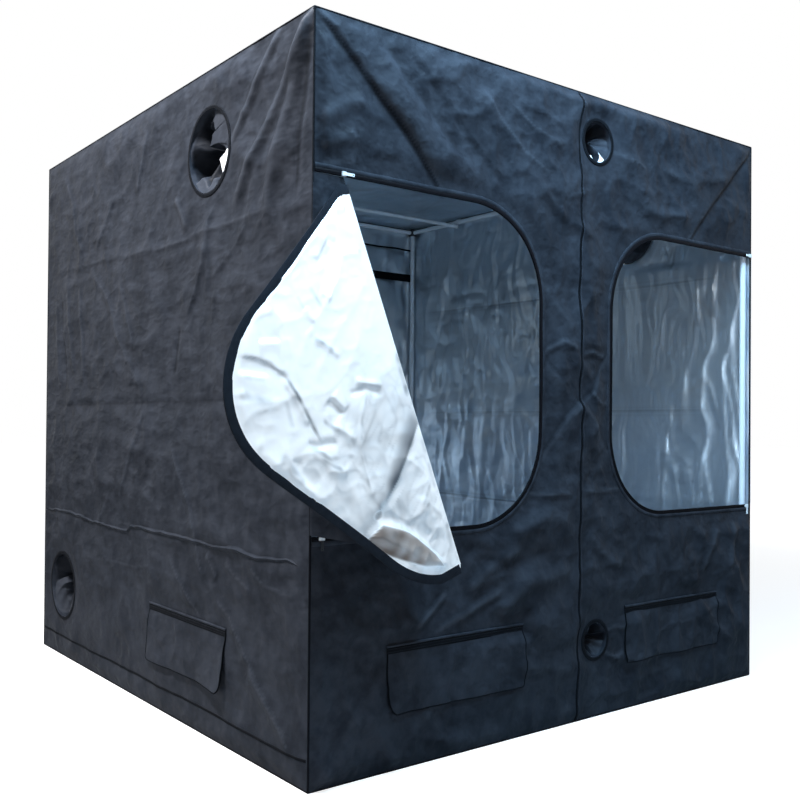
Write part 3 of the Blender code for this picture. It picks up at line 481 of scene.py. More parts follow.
def make_object(name, points, faces, slots=None, uv=None, materials=(), tone=None):
    """An object from vertices, faces, a slot index for each face, and (u, v) and scuffs with painted light for
    each vertex.
    """
    mesh = bpy.data.meshes.new(name)
    mesh.from_pydata([tuple(point) for point in np.asarray(points).tolist()], [], faces)
    for material in materials:
        mesh.materials.append(material)
    if slots is not None:
        mesh.polygons.foreach_set("material_index", np.asarray(slots, np.int32))
    if uv is not None:
        corners = np.zeros(len(mesh.loops), np.int32)
        mesh.loops.foreach_get("vertex_index", corners)
        layer = mesh.uv_layers.new(name="Cloth")
        layer.data.foreach_set("uv", np.asarray(uv, np.float32)[corners].ravel())
    if tone is not None:
        layer = mesh.attributes.new("Tone", "FLOAT", "POINT")
        layer.data.foreach_set("value", np.asarray(tone, np.float32))
    mesh.shade_smooth()
    mesh.set_sharp_from_angle(angle=math.radians(50))
    mesh.validate()
    item = bpy.data.objects.new(name, mesh)
    bpy.context.scene.collection.objects.link(item)
    return item


def grid_lines(low, high, cell, keys=()):
    """Coordinates about a cell apart that pass through the keys."""
    stops = [low] + sorted(key for key in keys if low + TINY < key < high - TINY) + [high]
    lines = []
    for start, end in zip(stops, stops[1:]):
        count = max(1, round((end - start) / cell))
        lines += [start + (end - start) * index / count for index in range(count)]
    return np.array(lines + [high])


def cut_grid(xs, ys, distance):
    """Grid points, faces and flat area, without what lies in the cuts; the edge follows their outline."""
    x, y = np.meshgrid(xs, ys, indexing="ij")
    cell = max(np.diff(xs).max(), np.diff(ys).max())
    gap = distance(x, y)
    step = 0.01 * MM
    slope_x = (distance(x + step, y) - gap) / step
    slope_y = (distance(x, y + step) - gap) / step
    near = np.abs(gap) < 0.52 * cell
    x = np.where(near, x - gap * slope_x, x)
    y = np.where(near, y - gap * slope_y, y)
    sign = np.where(near, 0, np.sign(gap)).astype(int).ravel()
    rows, columns = x.shape
    quads = np.array(grid_faces(rows, columns))
    signs = sign[quads]
    middle_x, middle_y = np.meshgrid((xs[:-1] + xs[1:]) / 2, (ys[:-1] + ys[1:]) / 2, indexing="ij")
    middle = distance(middle_x, middle_y).ravel()
    whole = (signs.min(1) >= 0) & ((signs.max(1) > 0) | (middle > 0))
    faces = quad_list(quads[whole])
    mixed = np.nonzero((signs.min(1) < 0) & (signs.max(1) > 0))[0]
    for number in mixed:
        kept = [int(corner) for corner, side in zip(quads[number], signs[number]) if side >= 0]
        if len(kept) >= 3:
            faces.append(tuple(kept))
    flat_x = x.ravel()
    flat_y = y.ravel()
    used = sorted({corner for face in faces for corner in face})
    renumber = {old: new for new, old in enumerate(used)}
    faces = [tuple(renumber[corner] for corner in face) for face in faces]
    flat_x = flat_x[used]
    flat_y = flat_y[used]
    return flat_x, flat_y, faces, sheet_area(faces, flat_x, flat_y)


def sheet_area(faces, x, y):
    total = 0.0
    for face in faces:
        px = x[list(face)]
        py = y[list(face)]
        total += 0.5 * abs(float(np.dot(px, np.roll(py, -1)) - np.dot(py, np.roll(px, -1))))
    return total


def pairs(first, second):
    """Rows of two values, one for each vertex."""
    return np.stack([np.ravel(first), np.ravel(second)], 1)


def quad_list(quads):
    return [tuple(quad) for quad in quads.reshape(-1, 4).tolist()]


def grid_faces(rows, columns):
    index = np.arange(rows * columns).reshape(rows, columns)
    return quad_list(np.stack([index[:-1, :-1], index[1:, :-1], index[1:, 1:], index[:-1, 1:]], -1))


def tube_faces(rings, sides, closed=False):
    """Faces between rings of points; a closed tube joins its last ring to its first."""
    index = np.arange(rings * sides).reshape(rings, sides)
    if closed:
        index = np.concatenate([index, index[:1]])
    after = np.roll(index, -1, 1)
    return quad_list(np.stack([index[:-1], after[:-1], after[1:], index[1:]], -1))


def facing(points, faces, direction):
    """The faces, turned so that most look along the direction."""
    total = np.zeros(3)
    for face in faces[:: max(1, len(faces) // 200)]:
        a, b, c = (points[corner] for corner in face[:3])
        total += np.cross(b - a, c - a)
    if np.dot(total, direction) < 0:
        return [face[::-1] for face in faces]
    return faces


def edge_loop(faces):
    """Edges used by one face only, in that face's direction."""
    uses = {}
    for face in faces:
        for start, end in zip(face, face[1:] + face[:1]):
            uses[(start, end)] = True
    return [pair for pair in uses if (pair[1], pair[0]) not in uses]


def two_sided(name, outer, inner, faces, uv, outside, inside, tone=None):
    """Cloth with two faces and a rim: outer and inner are matching points."""
    count = len(outer)
    back = [tuple(corner + count for corner in face[::-1]) for face in faces]
    edge = [(end, start, start + count, end + count) for start, end in edge_loop(faces)]
    slots = [0] * len(faces) + [1] * len(back) + [2] * len(edge)
    points = np.concatenate([outer, inner])
    both = np.concatenate([uv, uv])
    scuff_and_painted_light_both = np.zeros(2 * count) if tone is None else np.concatenate([tone, tone])
    return make_object(name, points, faces + back + edge, slots, both, (outside, inside, outside), scuff_and_painted_light_both)


def sweep(name, path, normals, section, material, closed=False, scale=None):
    """A strip: section points (across, out) carried along the path; UV is metres along and round."""
    path = np.asarray(path, float)
    normals = np.broadcast_to(np.asarray(normals, float), path.shape)
    ahead = np.roll(path, -1, 0) - np.roll(path, 1, 0)
    if not closed:
        ahead[0] = path[1] - path[0]
        ahead[-1] = path[-1] - path[-2]
    ahead /= np.linalg.norm(ahead, axis=1)[:, None]
    normals = normals - ahead * np.sum(normals * ahead, axis=1)[:, None]
    normals /= np.linalg.norm(normals, axis=1)[:, None]
    across = np.cross(ahead, normals)
    section = np.asarray(section, float)
    size = np.ones((len(path), 2)) if scale is None else scale
    points = (
        path[:, None, :]
        + section[None, :, 0, None] * size[:, None, 0, None] * across[:, None, :]
        + section[None, :, 1, None] * size[:, None, 1, None] * normals[:, None, :]
    )
    rings, sides = points.shape[:2]
    run = np.concatenate([[0.0], np.cumsum(np.linalg.norm(np.diff(path, axis=0), axis=1))])
    u = np.repeat(run, sides)
    v = np.tile(section[:, 0], rings)
    faces = tube_faces(rings, sides, closed)
    if not closed:
        faces.append(tuple(range(sides - 1, -1, -1)))
        faces.append(tuple((rings - 1) * sides + side for side in range(sides)))
    item = make_object(name, points.reshape(-1, 3), faces, None, pairs(u, v), (material,))
    fix_normals(item)
    return item


def trim(name, path, out, section, material, body="tent", slot="canvas", nodes=(), **shape):
    """A strip along a path, carried by a body; out is the way that its face looks."""
    strip = sweep(name, path, out, section, material, **shape)
    finish_piece(strip, body, nodes)
    return strip


def fix_normals(item):
    bm = bmesh.new()
    bm.from_mesh(item.data)
    bmesh.ops.recalc_face_normals(bm, faces=bm.faces)
    bm.to_mesh(item.data)
    bm.free()


def flat_section(width, thickness, rounding=0.3):
    """A tape's cross-section: flat on the cloth, with rounded upper edges."""
    half = width / 2
    inset = thickness * rounding
    return [(-half, 0.0), (half, 0.0), (half, thickness - inset), (half - inset, thickness),
            (-half + inset, thickness), (-half, thickness - inset)]


def round_section(radius, sides):
    turns = [math.tau * index / sides for index in range(sides)]
    return [(radius * math.cos(turn), radius * math.sin(turn)) for turn in turns]


def resample(points, step):
    """Points a step apart along a polyline."""
    points = np.asarray(points, float)
    lengths = np.linalg.norm(np.diff(points, axis=0), axis=1)
    run = np.concatenate([[0.0], np.cumsum(lengths)])
    count = max(2, int(round(run[-1] / step)) + 1)
    places = np.linspace(0.0, run[-1], count)
    return np.stack([np.interp(places, run, points[:, axis]) for axis in range(points.shape[1])], 1)


def on_side(side, line, step, lift=0.0):
    """Path of a line drawn on a side, following its cloth."""
    line = resample(line, step)
    return side.place(line[:, 0], line[:, 1], lift)


def finish_piece(item, body, nodes=()):
    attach(item, body)
    if nodes:
        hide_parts(*nodes)


# Materials

class Shader:
    """A material's node tree, with short calls for the nodes that the cloths share."""

    def __init__(self, name, color, roughness, metallic=0.0, **values):
        self.material = bpy.data.materials.new(name)
        self.material.use_nodes = True
        self.tree = self.material.node_tree
        self.bsdf = self.tree.nodes["Principled BSDF"]
        self.bsdf.inputs["Base Color"].default_value = (*color, 1.0)
        self.bsdf.inputs["Roughness"].default_value = roughness
        self.bsdf.inputs["Metallic"].default_value = metallic
        for key, value in values.items():
            self.bsdf.inputs[key.replace("_", " ")].default_value = value

    def node(self, kind, inputs=(), **settings):
        item = self.tree.nodes.new(kind)
        for key, value in settings.items():
            setattr(item, key, value)
        for key, value in dict(inputs).items():
            if isinstance(value, bpy.types.NodeSocket):
                self.tree.links.new(value, item.inputs[key])
            else:
                item.inputs[key].default_value = value
        return item

    def math(self, operation, *values):
        return self.node("ShaderNodeMath", enumerate(values), operation=operation).outputs[0]

    def place(self):
        return self.node("ShaderNodeTexCoord").outputs["Object"]

    def tone(self):
        return self.node("ShaderNodeAttribute", attribute_name="Tone").outputs["Fac"]

    def cloth_uv(self):
        return self.node("ShaderNodeTexCoord").outputs["UV"]

    def parts(self, vector):
        return self.node("ShaderNodeSeparateXYZ", {0: vector}).outputs

    def scaled(self, vector, factors):
        return self.node("ShaderNodeVectorMath", {0: vector, 1: factors}, operation="MULTIPLY").outputs[0]

    def noise(self, vector, scale, detail=4.0, roughness=0.55, distortion=0.0):
        values = {"Vector": vector, "Scale": scale, "Detail": detail, "Roughness": roughness,
                  "Distortion": distortion}
        return self.node("ShaderNodeTexNoise", values).outputs["Fac"]

    def ridged(self, vector, scale):
        """Noise folded at its middle, so that it runs in thin crests."""
        wave = self.math("MULTIPLY_ADD", self.noise(vector, scale, 2.0, 0.5), 2.0, -1.0)
        rounded = self.math("SQRT", self.math("MULTIPLY_ADD", wave, wave, 0.003))
        return self.math("SUBTRACT", 1.0, rounded)

    def ramp(self, value, low, high, from_value=0.0, to_value=1.0):
        values = {"Value": value, "From Min": low, "From Max": high, "To Min": from_value, "To Max": to_value}
        return self.node("ShaderNodeMapRange", values).outputs["Result"]

    def mix(self, share, first, second):
        item = self.node("ShaderNodeMix", data_type="RGBA")
        for index, value in ((0, share), (6, first), (7, second)):
            if isinstance(value, bpy.types.NodeSocket):
                self.tree.links.new(value, item.inputs[index])
            else:
                item.inputs[index].default_value = value if index == 0 else (*value, 1.0)
        return item.outputs[2]

    def set(self, socket, value):
        self.tree.links.new(value, self.bsdf.inputs[socket])

    def bump(self, height, distance, strength=1.0, after=None):
        values = {"Height": height, "Distance": distance, "Strength": strength}
        if after is not None:
            values["Normal"] = after
        return self.node("ShaderNodeBump", values).outputs["Normal"]

    def weave(self, threads_per_metre):
        """Height of a plain weave over the cloth's own metres."""
        along, across, _ = self.parts(self.cloth_uv())
        turn = math.pi * threads_per_metre
        warp = self.math("SINE", self.math("MULTIPLY", along, turn))
        weft = self.math("SINE", self.math("MULTIPLY", across, turn))
        return self.math("MULTIPLY", warp, weft)


CANVAS_DARK = (0.0150, 0.0178, 0.0235)
CANVAS_MID = (0.0275, 0.0315, 0.0400)
# Scuffed canvas; also the painted highlight on crests and on sleeve lobes
CANVAS_SCUFF_AND_HIGHLIGHT = (0.052, 0.059, 0.072)
FILM = (0.70, 0.78, 0.86)
FILM_SHADE = (0.54, 0.61, 0.69)
FILM_LEAF = (0.95, 0.97, 0.98)
FILM_LEAF_SHADE = (0.86, 0.89, 0.91)
# Warm film colour: painted reflection of the brown ground
FILM_WARM_REFLECTION = (0.52, 0.45, 0.41)
# Greyer film towards the top: painted shade
FILM_UPPER_PAINTED_SHADE = (0.52, 0.59, 0.65)
# Painted reflections on the film: dark for the dark ground, brown for the brown ground
FILM_PAINTED_DARK = (0.13, 0.15, 0.175)
FILM_BROWN = (0.17, 0.135, 0.115)
POLE_PAINT = (0.66, 0.71, 0.77)
WEBBING = (0.0032, 0.0038, 0.0050)
THREAD = (0.030, 0.034, 0.042)
ENAMEL_WHITE = (0.84, 0.86, 0.88)
# Painted shadow on the pull of the lower left slider, under the folded leaf
PULL_PAINTED_SHADOW = (0.010, 0.011, 0.013)
MOULDING_BLACK = (0.020, 0.021, 0.024)
ZIP_BLACK = (0.004, 0.004, 0.005)

# Canvas and film: threads in a metre, and depths of the bumps that their shading adds
WEAVE_THREADS = 900
WEAVE_DEPTH = 0.03 * MM
CRUMPLE_DEPTH = 7 * MM
CRINKLE_DEPTH = 4.6 * MM
FILM_CRUMPLE_DEPTH = 8 * MM
FILM_CRINKLE_DEPTH = 0.9 * MM

# Stitches: half the width of the thread's line, length of a stitch with its gap, and where the line runs
STITCH_HALF = 0.6 * MM
STITCH_PITCH = 4 * MM
STITCH_FROM_MIDDLE = 4 * MM
STITCH_DEPTH = 0.5 * MM

# Fine relief of tape, paint and plastic, and how far below a slider's top the painted shadow on its pull starts
RIBS_PER_METRE = 700
RIB_DEPTH = 0.2 * MM
PEEL_DEPTH = 0.2 * MM
GRAIN_DEPTH = 0.1 * MM
PULL_BELOW_TOP = 9 * MM


def toned(color, factor):
    return tuple(value * factor for value in color)


def canvas_material(name, darker=1.0):
    """Black coated Oxford cloth: plain weave, soft sheen, faint mottling and scuffs; its creases get worn crests
    with a painted highlight, and painted shade in their hollows.
    """
    shader = Shader(name, CANVAS_MID, 0.5, Specular_IOR_Level=0.03)
    place = shader.place()
    mottle = shader.noise(place, 7.0, 3.0, 0.55)
    cloud = shader.noise(place, 26.0, 4.0, 0.55)
    share = shader.ramp(shader.math("MULTIPLY_ADD", cloud, 0.9, mottle), 0.78, 1.12)
    dark = toned(CANVAS_DARK, darker)
    color = shader.mix(share, dark, toned(CANVAS_MID, darker))
    scuff = shader.noise(place, 14.0, 5.0, 0.6)
    color = shader.mix(shader.ramp(scuff, 0.60, 0.76, 0.0, 0.25), color, CANVAS_SCUFF_AND_HIGHLIGHT)
    # Lighter crests, worn and with a painted highlight; sharp hollows darkened as painted shade
    tone = shader.tone()
    color = shader.mix(shader.ramp(tone, 0.12, 1.0, 0.0, 0.45), color, CANVAS_SCUFF_AND_HIGHLIGHT)
    color = shader.mix(shader.ramp(tone, -0.12, -1.0, 0.0, 0.7), color, toned(dark, 0.3))
    shader.set("Base Color", color)
    shader.set("Roughness", shader.ramp(cloud, 0.3, 0.7, 0.40, 0.60))
    level = shader.scaled(place, (1.0, 0.5, 1.0))
    normal = shader.bump(shader.noise(level, 13.0, 2.0, 0.45), CRUMPLE_DEPTH, 0.8)
    normal = shader.bump(shader.ridged(level, 20.0), CRINKLE_DEPTH, 0.8, normal)
    shader.set("Normal", shader.bump(shader.weave(WEAVE_THREADS), WEAVE_DEPTH, 0.5, normal))
    return shader.material


def film_material(name, rumple=1.0, warm=0.35, metallic=0.92, bright=FILM, shade=FILM_SHADE, hang=0.25,
                  upper=0.0):
    """Silver film laminated on the cloth: bright, with crinkles drawn out upright where hang is below 1; warm
    patches and the attribute are painted reflections of the ground, and upper greys its top as painted shade.
    """
    shader = Shader(name, bright, 0.3, metallic, Specular_IOR_Level=0.5)
    place = shader.place()
    tint = shader.noise(place, 3.2, 4.0, 0.6, 0.8)
    color = shader.mix(shader.ramp(tint, 0.35, 0.7), bright, shade)
    # Painted shade: the film is greyer towards the top of the tent, by the share upper
    color = shader.mix(shader.ramp(shader.parts(place)[2], 0.92, 1.12, 0.0, upper), color, FILM_UPPER_PAINTED_SHADE)
    # Warm patches: painted reflection of the brown ground
    warm_reflection = shader.noise(place, 2.1, 5.0, 0.65, 1.2)
    color = shader.mix(shader.ramp(warm_reflection, 0.56, 0.74, 0.0, warm), color, FILM_WARM_REFLECTION)
    # Painted dark and brown reflections, from the attribute
    tone = shader.tone()
    color = shader.mix(shader.ramp(tone, 0.05, 1.0, 0.0, 1.0), color, FILM_PAINTED_DARK)
    color = shader.mix(shader.ramp(tone, -0.05, -1.0, 0.0, 1.0), color, FILM_BROWN)
    shader.set("Base Color", color)
    grain = shader.noise(place, 40.0, 5.0, 0.6, 0.4)
    shader.set("Roughness", shader.ramp(grain, 0.3, 0.7, 0.29, 0.41))
    drawn = shader.scaled(place, (1.0, 1.0, hang))
    normal = shader.bump(shader.noise(drawn, 12.0, 1.0, 0.45), FILM_CRUMPLE_DEPTH * rumple, 0.6)
    normal = shader.bump(shader.noise(drawn, 44.0, 1.0, 0.4), FILM_CRINKLE_DEPTH * rumple, 0.5, normal)
    shader.set("Normal", normal)
    return shader.material


def webbing_material(name, stitch=None, scale=1.0):
    """Black woven tape; stitch is the distance from its middle at which a line of thread runs on each side."""
    base = toned(WEBBING, scale)
    shader = Shader(name, base, 0.6, Specular_IOR_Level=0.02)
    color = shader.mix(shader.noise(shader.place(), 60.0, 4.0), base, toned(base, 2.2))
    along, across, _ = shader.parts(shader.cloth_uv())
    rib = shader.math("SINE", shader.math("MULTIPLY", along, math.tau * RIBS_PER_METRE))
    normal = shader.bump(rib, RIB_DEPTH, 0.6)
    if stitch is not None:
        beside = shader.math("SUBTRACT", shader.math("ABSOLUTE", across), stitch)
        on_line = shader.math("LESS_THAN", shader.math("ABSOLUTE", beside), STITCH_HALF)
        turn = shader.math("FRACT", shader.math("MULTIPLY", along, 1 / STITCH_PITCH))
        mark = shader.math("MULTIPLY", on_line, shader.math("LESS_THAN", turn, 0.7))
        color = shader.mix(shader.math("MULTIPLY", mark, 0.6), color, THREAD)
        normal = shader.bump(mark, STITCH_DEPTH, 0.8, normal)
    shader.set("Base Color", color)
    shader.set("Normal", normal)
    return shader.material


def paint_material(name, color):
    """Powder-coated steel: slight orange peel and darker handling marks."""
    shader = Shader(name, color, 0.36, Specular_IOR_Level=0.5, Coat_Weight=0.15, Coat_Roughness=0.25)
    place = shader.place()
    mark = shader.noise(place, 8.0, 6.0, 0.65, 0.8)
    shader.set("Base Color", shader.mix(shader.ramp(mark, 0.5, 0.75, 0.0, 0.6), color, toned(color, 0.82)))
    peel = shader.noise(place, 260.0, 2.0)
    shader.set("Roughness", shader.ramp(mark, 0.3, 0.7, 0.3, 0.46))
    shader.set("Normal", shader.bump(peel, PEEL_DEPTH, 0.35))
    return shader.material


def slider_material(name, color, pull, height):
    """Enamelled zip slider whose pull, below the height, is darkened as painted shadow."""
    shader = Shader(name, color, 0.36, Specular_IOR_Level=0.5)
    place = shader.place()
    up = shader.parts(place)[2]
    mark = shader.noise(place, 90.0, 4.0)
    enamel = shader.mix(shader.ramp(mark, 0.4, 0.7), color, toned(color, 0.8))
    shader.set("Base Color", shader.mix(shader.ramp(up, height - MM, height + MM), pull, enamel))
    shader.set("Roughness", shader.ramp(mark, 0.3, 0.7, 0.3, 0.46))
    return shader.material


def plastic_material(name, color):
    """Moulded plastic with a fine spark-eroded grain."""
    shader = Shader(name, color, 0.45, Specular_IOR_Level=0.5)
    place = shader.place()
    grain = shader.noise(place, 900.0, 2.0)
    mark = shader.noise(place, 30.0, 4.0)
    shader.set("Base Color", shader.mix(mark, color, toned(color, 1.5)))
    shader.set("Roughness", shader.ramp(mark, 0.3, 0.7, 0.37, 0.55))
    shader.set("Normal", shader.bump(grain, GRAIN_DEPTH, 0.4))
    return shader.material


def zip_material(name):
    """Black zip coil and tape: glossy teeth over matt cloth."""
    shader = Shader(name, ZIP_BLACK, 0.4, Specular_IOR_Level=0.03)
    shade = shader.noise(shader.place(), 120.0, 3.0)
    shader.set("Base Color", shader.mix(shade, (0.002, 0.002, 0.003), (0.006, 0.006, 0.008)))
    shader.set("Roughness", shader.ramp(shade, 0.3, 0.7, 0.34, 0.56))
    return shader.material


CANVAS_SKIN = canvas_material("black_canvas")
CANVAS_SHADE = canvas_material("black_canvas_dark", 0.7)
FILM_SKIN = film_material("silver_film", 1.0, upper=0.6)
FILM_FLAP = film_material("silver_film_leaf", 0.9, 0.0, 0.6, FILM_LEAF, FILM_LEAF_SHADE, 1.0)
FILM_SLEEVE = film_material("silver_film_sleeve", 1.0, 0.0, 0.3, FILM_LEAF, FILM_LEAF_SHADE, 1.0)
TAPE = webbing_material("black_webbing", STITCH_FROM_MIDDLE)
PLAIN_TAPE = webbing_material("black_tape")
ZIP = zip_material("black_zip")
BINDING = webbing_material("black_binding")
# A lighter copy of the binding for the left leaf: painted sheen
LEAF_BINDING_PAINTED_SHEEN = webbing_material("black_leaf_binding", scale=2.6)
CANVAS_SLEEVE = canvas_material("black_canvas_sleeve", 1.3)
CANVAS_HEM = canvas_material("black_canvas_hem", 1.1)
POLE = paint_material("white_powder_coat", POLE_PAINT)
PLASTIC = plastic_material("black_moulding", MOULDING_BLACK)
ENAMEL = paint_material("white_enamel", ENAMEL_WHITE)
# The lower left slider, with painted shadow on its pull
SLIDER_PULL_PAINTED_SHADOW = slider_material("white_enamel_dark_pull", ENAMEL_WHITE, PULL_PAINTED_SHADOW,
                            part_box("slider_left_lower")[1].z - PULL_BELOW_TOP)


# Ports and window covers, from the frame

def port_on(side, node):
    """(x, y, radius) of a port on its side, from its sleeve's collar."""
    low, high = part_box(node)
    middle = (np.array(low) + np.array(high)) / 2
    return float(middle @ side.right), float(middle @ side.up), (high.z - low.z) / 2 - COLLAR_WIDTH


def cover_on(side, node):
    """(left, low, right, high) of a window cover on its side."""
    low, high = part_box(node)
    ends = sorted((float(np.array(low) @ side.right), float(np.array(high) @ side.right)))
    return ends[0], low.z, ends[1], high.z


PORTS = {
    "sleeve_left_upper": LEFT,
    "sleeve_left_lower": LEFT,
    "sleeve_right_upper": RIGHT,
    "sleeve_right_lower": RIGHT,
    "sleeve_front_upper": FRONT,
    "sleeve_front_lower": FRONT,
}
COVERS = {
    "cover_front_left": (FRONT, "front_left_cover"),
    "cover_front_right": (FRONT, "front_right_cover"),
    "cover_left": (LEFT, "left_cover"),
    "cover_right": (RIGHT, "right_cover"),
}
for port, where in PORTS.items():
    where.rings.append(port_on(where, port))
for cover, (where, _) in COVERS.items():
    cover_left, _, cover_right, cover_top = cover_on(where, cover)
    where.hinges.append((cover_left, cover_right, cover_top))
LEAF_LOW, LEAF_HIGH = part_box("right_door")
RIGHT.covered.append((-HALF, LEAF_LOW.z, LEAF_HIGH.y, LEAF_HIGH.z))
WINDOW_BORDER = 30 * MM
LEFT_DOORWAY = door_distance(-1, LEFT_DOOR_SEAM)
RIGHT_DOORWAY = door_distance(1, RIGHT_DOOR_SEAM)
FRONT.doorways += [LEFT_DOORWAY, RIGHT_DOORWAY]


def window_box(side, node):
    left, low, right, high = cover_on(side, node)
    return left + WINDOW_BORDER, low + WINDOW_BORDER, right - WINDOW_BORDER, high - WINDOW_BORDER


def side_cuts(side):
    """Distances and grid keys of everything cut out of a side."""
    cuts = []
    keys_x = []
    keys_y = []
    for node, where in PORTS.items():
        if where is side:
            cuts.append(circle_distance(*port_on(side, node)))
    for node, (where, _) in COVERS.items():
        if where is side:
            left, low, right, high = window_box(side, node)
            cuts.append(box_distance(left, low, right, high))
            keys_x += [left, right]
            keys_y += [low, high]
    return cuts, keys_x, keys_y


# Crinkles of the film inside: height, length, breadth, lean and seed; the last isn't warped
LINING_TALL = (7 * MM, 0.50, 0.075, math.pi / 2 + 0.10, 1)
LINING_SLIM = (5 * MM, 0.24, 0.042, math.pi / 2 - 0.12, 2)
LINING_LEVEL = (1.2 * MM, 0.30, 0.060, 0.15, 4)
LINING_EASE = 30 * MM


def lining_relief(side, x, y):
    """Extra crinkle of the film, which lies loosely on the inside of the cloth."""
    seed = side.seed + 50
    warp = x + 0.030 * noise(x, y, 0.13, seed)
    total = np.zeros(x.shape)
    layers = ((warp, LINING_TALL), (warp, LINING_SLIM), (x, LINING_LEVEL))
    for across, (height, along, breadth, lean, step) in layers:
        total = total + height * ridges(turned_noise(across, y, along, breadth, lean, seed + step))
    return total * (0.6 + 0.4 * smooth(0.6 + 0.9 * noise(x, y, 0.35, seed + 3)))


def wall(name, side, low_x, high_x, cell, cuts, keys_x, keys_y, node):
    """One panel of the cover: canvas outside, film inside."""
    low_y, high_y = side.span
    xs = grid_lines(low_x, high_x, cell, keys_x)
    ys = grid_lines(low_y, high_y, cell, keys_y)
    x, y, faces, area = cut_grid(xs, ys, outside_all(cuts))
    outer = side.place(x, y)
    edge = np.minimum(np.minimum(x - low_x, high_x - x), np.minimum(y - low_y, high_y - y))
    ease = smooth(np.minimum(edge, np.abs(outside_all(cuts)(x, y))) / LINING_EASE)
    inner = side.place(x, y, -CLOTH - ease * lining_relief(side, x, y))
    # Scuffs and painted light from the creases: lighter crests, painted shade in hollows; the film inside gets
    # painted dark and brown
    tone = side.tone(x, y)
    item = two_sided(name, outer, inner, faces, pairs(x, y), CANVAS_SKIN, FILM_SKIN, tone=tone)
    finish_piece(item, "tent", [node])


def build_walls():
    cuts, keys_x, keys_y = side_cuts(FRONT)
    door_keys = [DOOR_LOW, DOOR_HIGH]
    left_cuts = cuts + [LEFT_DOORWAY]
    right_cuts = cuts + [RIGHT_DOORWAY]
    left_keys = keys_x + [-DOOR_HINGE, LEFT_DOOR_SEAM]
    right_keys = keys_x + [DOOR_HINGE, RIGHT_DOOR_SEAM]
    keys_y = keys_y + door_keys
    wall("front_left_wall", FRONT, -HALF, SEAM_X, CELL_FINE, left_cuts, left_keys, keys_y, "front_left_panel")
    wall("front_right_wall", FRONT, SEAM_X, HALF, CELL_FINE, right_cuts, right_keys, keys_y,
         "front_right_panel")
    cuts, keys_x, keys_y = side_cuts(LEFT)
    wall("left_wall", LEFT, -HALF, HALF, CELL_LEFT, cuts, keys_x, keys_y + [LEFT_BASE_SEAM], "left_panel")
    cuts, keys_x, keys_y = side_cuts(RIGHT)
    wall("right_wall", RIGHT, -HALF, HALF, CELL_LEFT, cuts, keys_x, keys_y, "right_panel")
    wall("rear_wall", REAR, -HALF, HALF, CELL_PLAIN, [], [], [], "rear_panel")
    wall("roof", ROOF, -HALF, HALF, CELL_PLAIN, [], [], [], "roof_panel")


# Doorway edges and their zips

ARC_STEPS = 24
ZIP_THICKNESS = 1.4 * MM
TOOTH_RADIUS = 1.7 * MM
TOOTH_PITCH = 3 * MM
TOOTH_WAIST = 0.62
TOOTH_SIDES = 6
WELT_WIDTH = 13 * MM
WELT_THICKNESS = 1.9 * MM
TRIM_STEP = 9 * MM
LEAF_GAP = 2 * MM
LEAF_BAND = 25 * MM
LEAF_BAND_THICKNESS = 1.5 * MM
LEAF_BAND_PAST = 2 * MM


def door_line(hinge_sign, seam_edge, offset=0.0):
    """The D-shaped edge from the hinge at the top round to the hinge at the bottom, grown by offset."""
    reach = abs(DOOR_HINGE * hinge_sign - seam_edge) + offset
    radius = DOOR_RADIUS + offset
    middle = reach - radius
    high = DOOR_HIGH + offset
    low = DOOR_LOW - offset
    points = [(0.0, high)]
    for index in range(ARC_STEPS + 1):
        turn = math.pi / 2 * (1 - index / ARC_STEPS)
        points.append((middle + radius * math.cos(turn), high - radius + radius * math.sin(turn)))
    for index in range(ARC_STEPS + 1):
        turn = -math.pi / 2 * index / ARC_STEPS
        points.append((middle + radius * math.cos(turn), low + radius + radius * math.sin(turn)))
    points.append((0.0, low))
    return [(hinge_sign * (DOOR_HINGE - away), height) for away, height in points]


def wrap_section(width, inside, thickness):
    """A binding folded round an edge: a flat tube that holds the cloth between its two halves."""
    half = width / 2
    low = -inside - thickness
    return [(-half, low), (half - thickness, low), (half, low / 2), (half, thickness / 2),
            (half - thickness, thickness), (-half + thickness / 2, thickness), (-half, 0.0)]


def zip_teeth(name, path, out, body="tent"):
    """A ribbed bead that reads as zip teeth: every second ring is drawn in."""
    rings = np.ones((len(path), 2))
    rings[1::2] = TOOTH_WAIST
    return trim(name, path, out, round_section(TOOTH_RADIUS, TOOTH_SIDES), ZIP, body, "webbing", scale=rings)


def leaf_edge(side, bound, edge, out, material):
    """The binding and the zip teeth of the leaf on one side, along two paths."""
    body = "left_flap" if side == "left" else "right_leaf"
    section = wrap_section(LEAF_BAND, CLOTH, LEAF_BAND_THICKNESS)
    binding = trim(f"{side}_leaf_binding", bound, out, section, material, body, "webbing")
    return [binding, zip_teeth(f"{side}_leaf_teeth", edge, out, body)]


def build_doorway(name, node, hinge_sign, seam_edge):
    path = on_side(FRONT, door_line(hinge_sign, seam_edge, ZIP_TAPE / 2), TRIM_STEP, GAP)
    section = flat_section(ZIP_TAPE, ZIP_THICKNESS)
    trim(name + "_zip_tape", path, FRONT.out, section, ZIP, slot="webbing", nodes=[node])
    line = door_line(hinge_sign, seam_edge, TOOTH_RADIUS)
    zip_teeth(name + "_zip_teeth", on_side(FRONT, line, TOOTH_PITCH / 2, GAP + ZIP_THICKNESS), FRONT.out)
    path = on_side(FRONT, door_line(hinge_sign, seam_edge, ZIP_TAPE + WELT_WIDTH / 2 - MM), TRIM_STEP)
    trim(name + "_welt", path, FRONT.out, flat_section(WELT_WIDTH, WELT_THICKNESS, 0.8), CANVAS_HEM)


# Left door: the free leaf is folded back over an inclined fold, silver side out

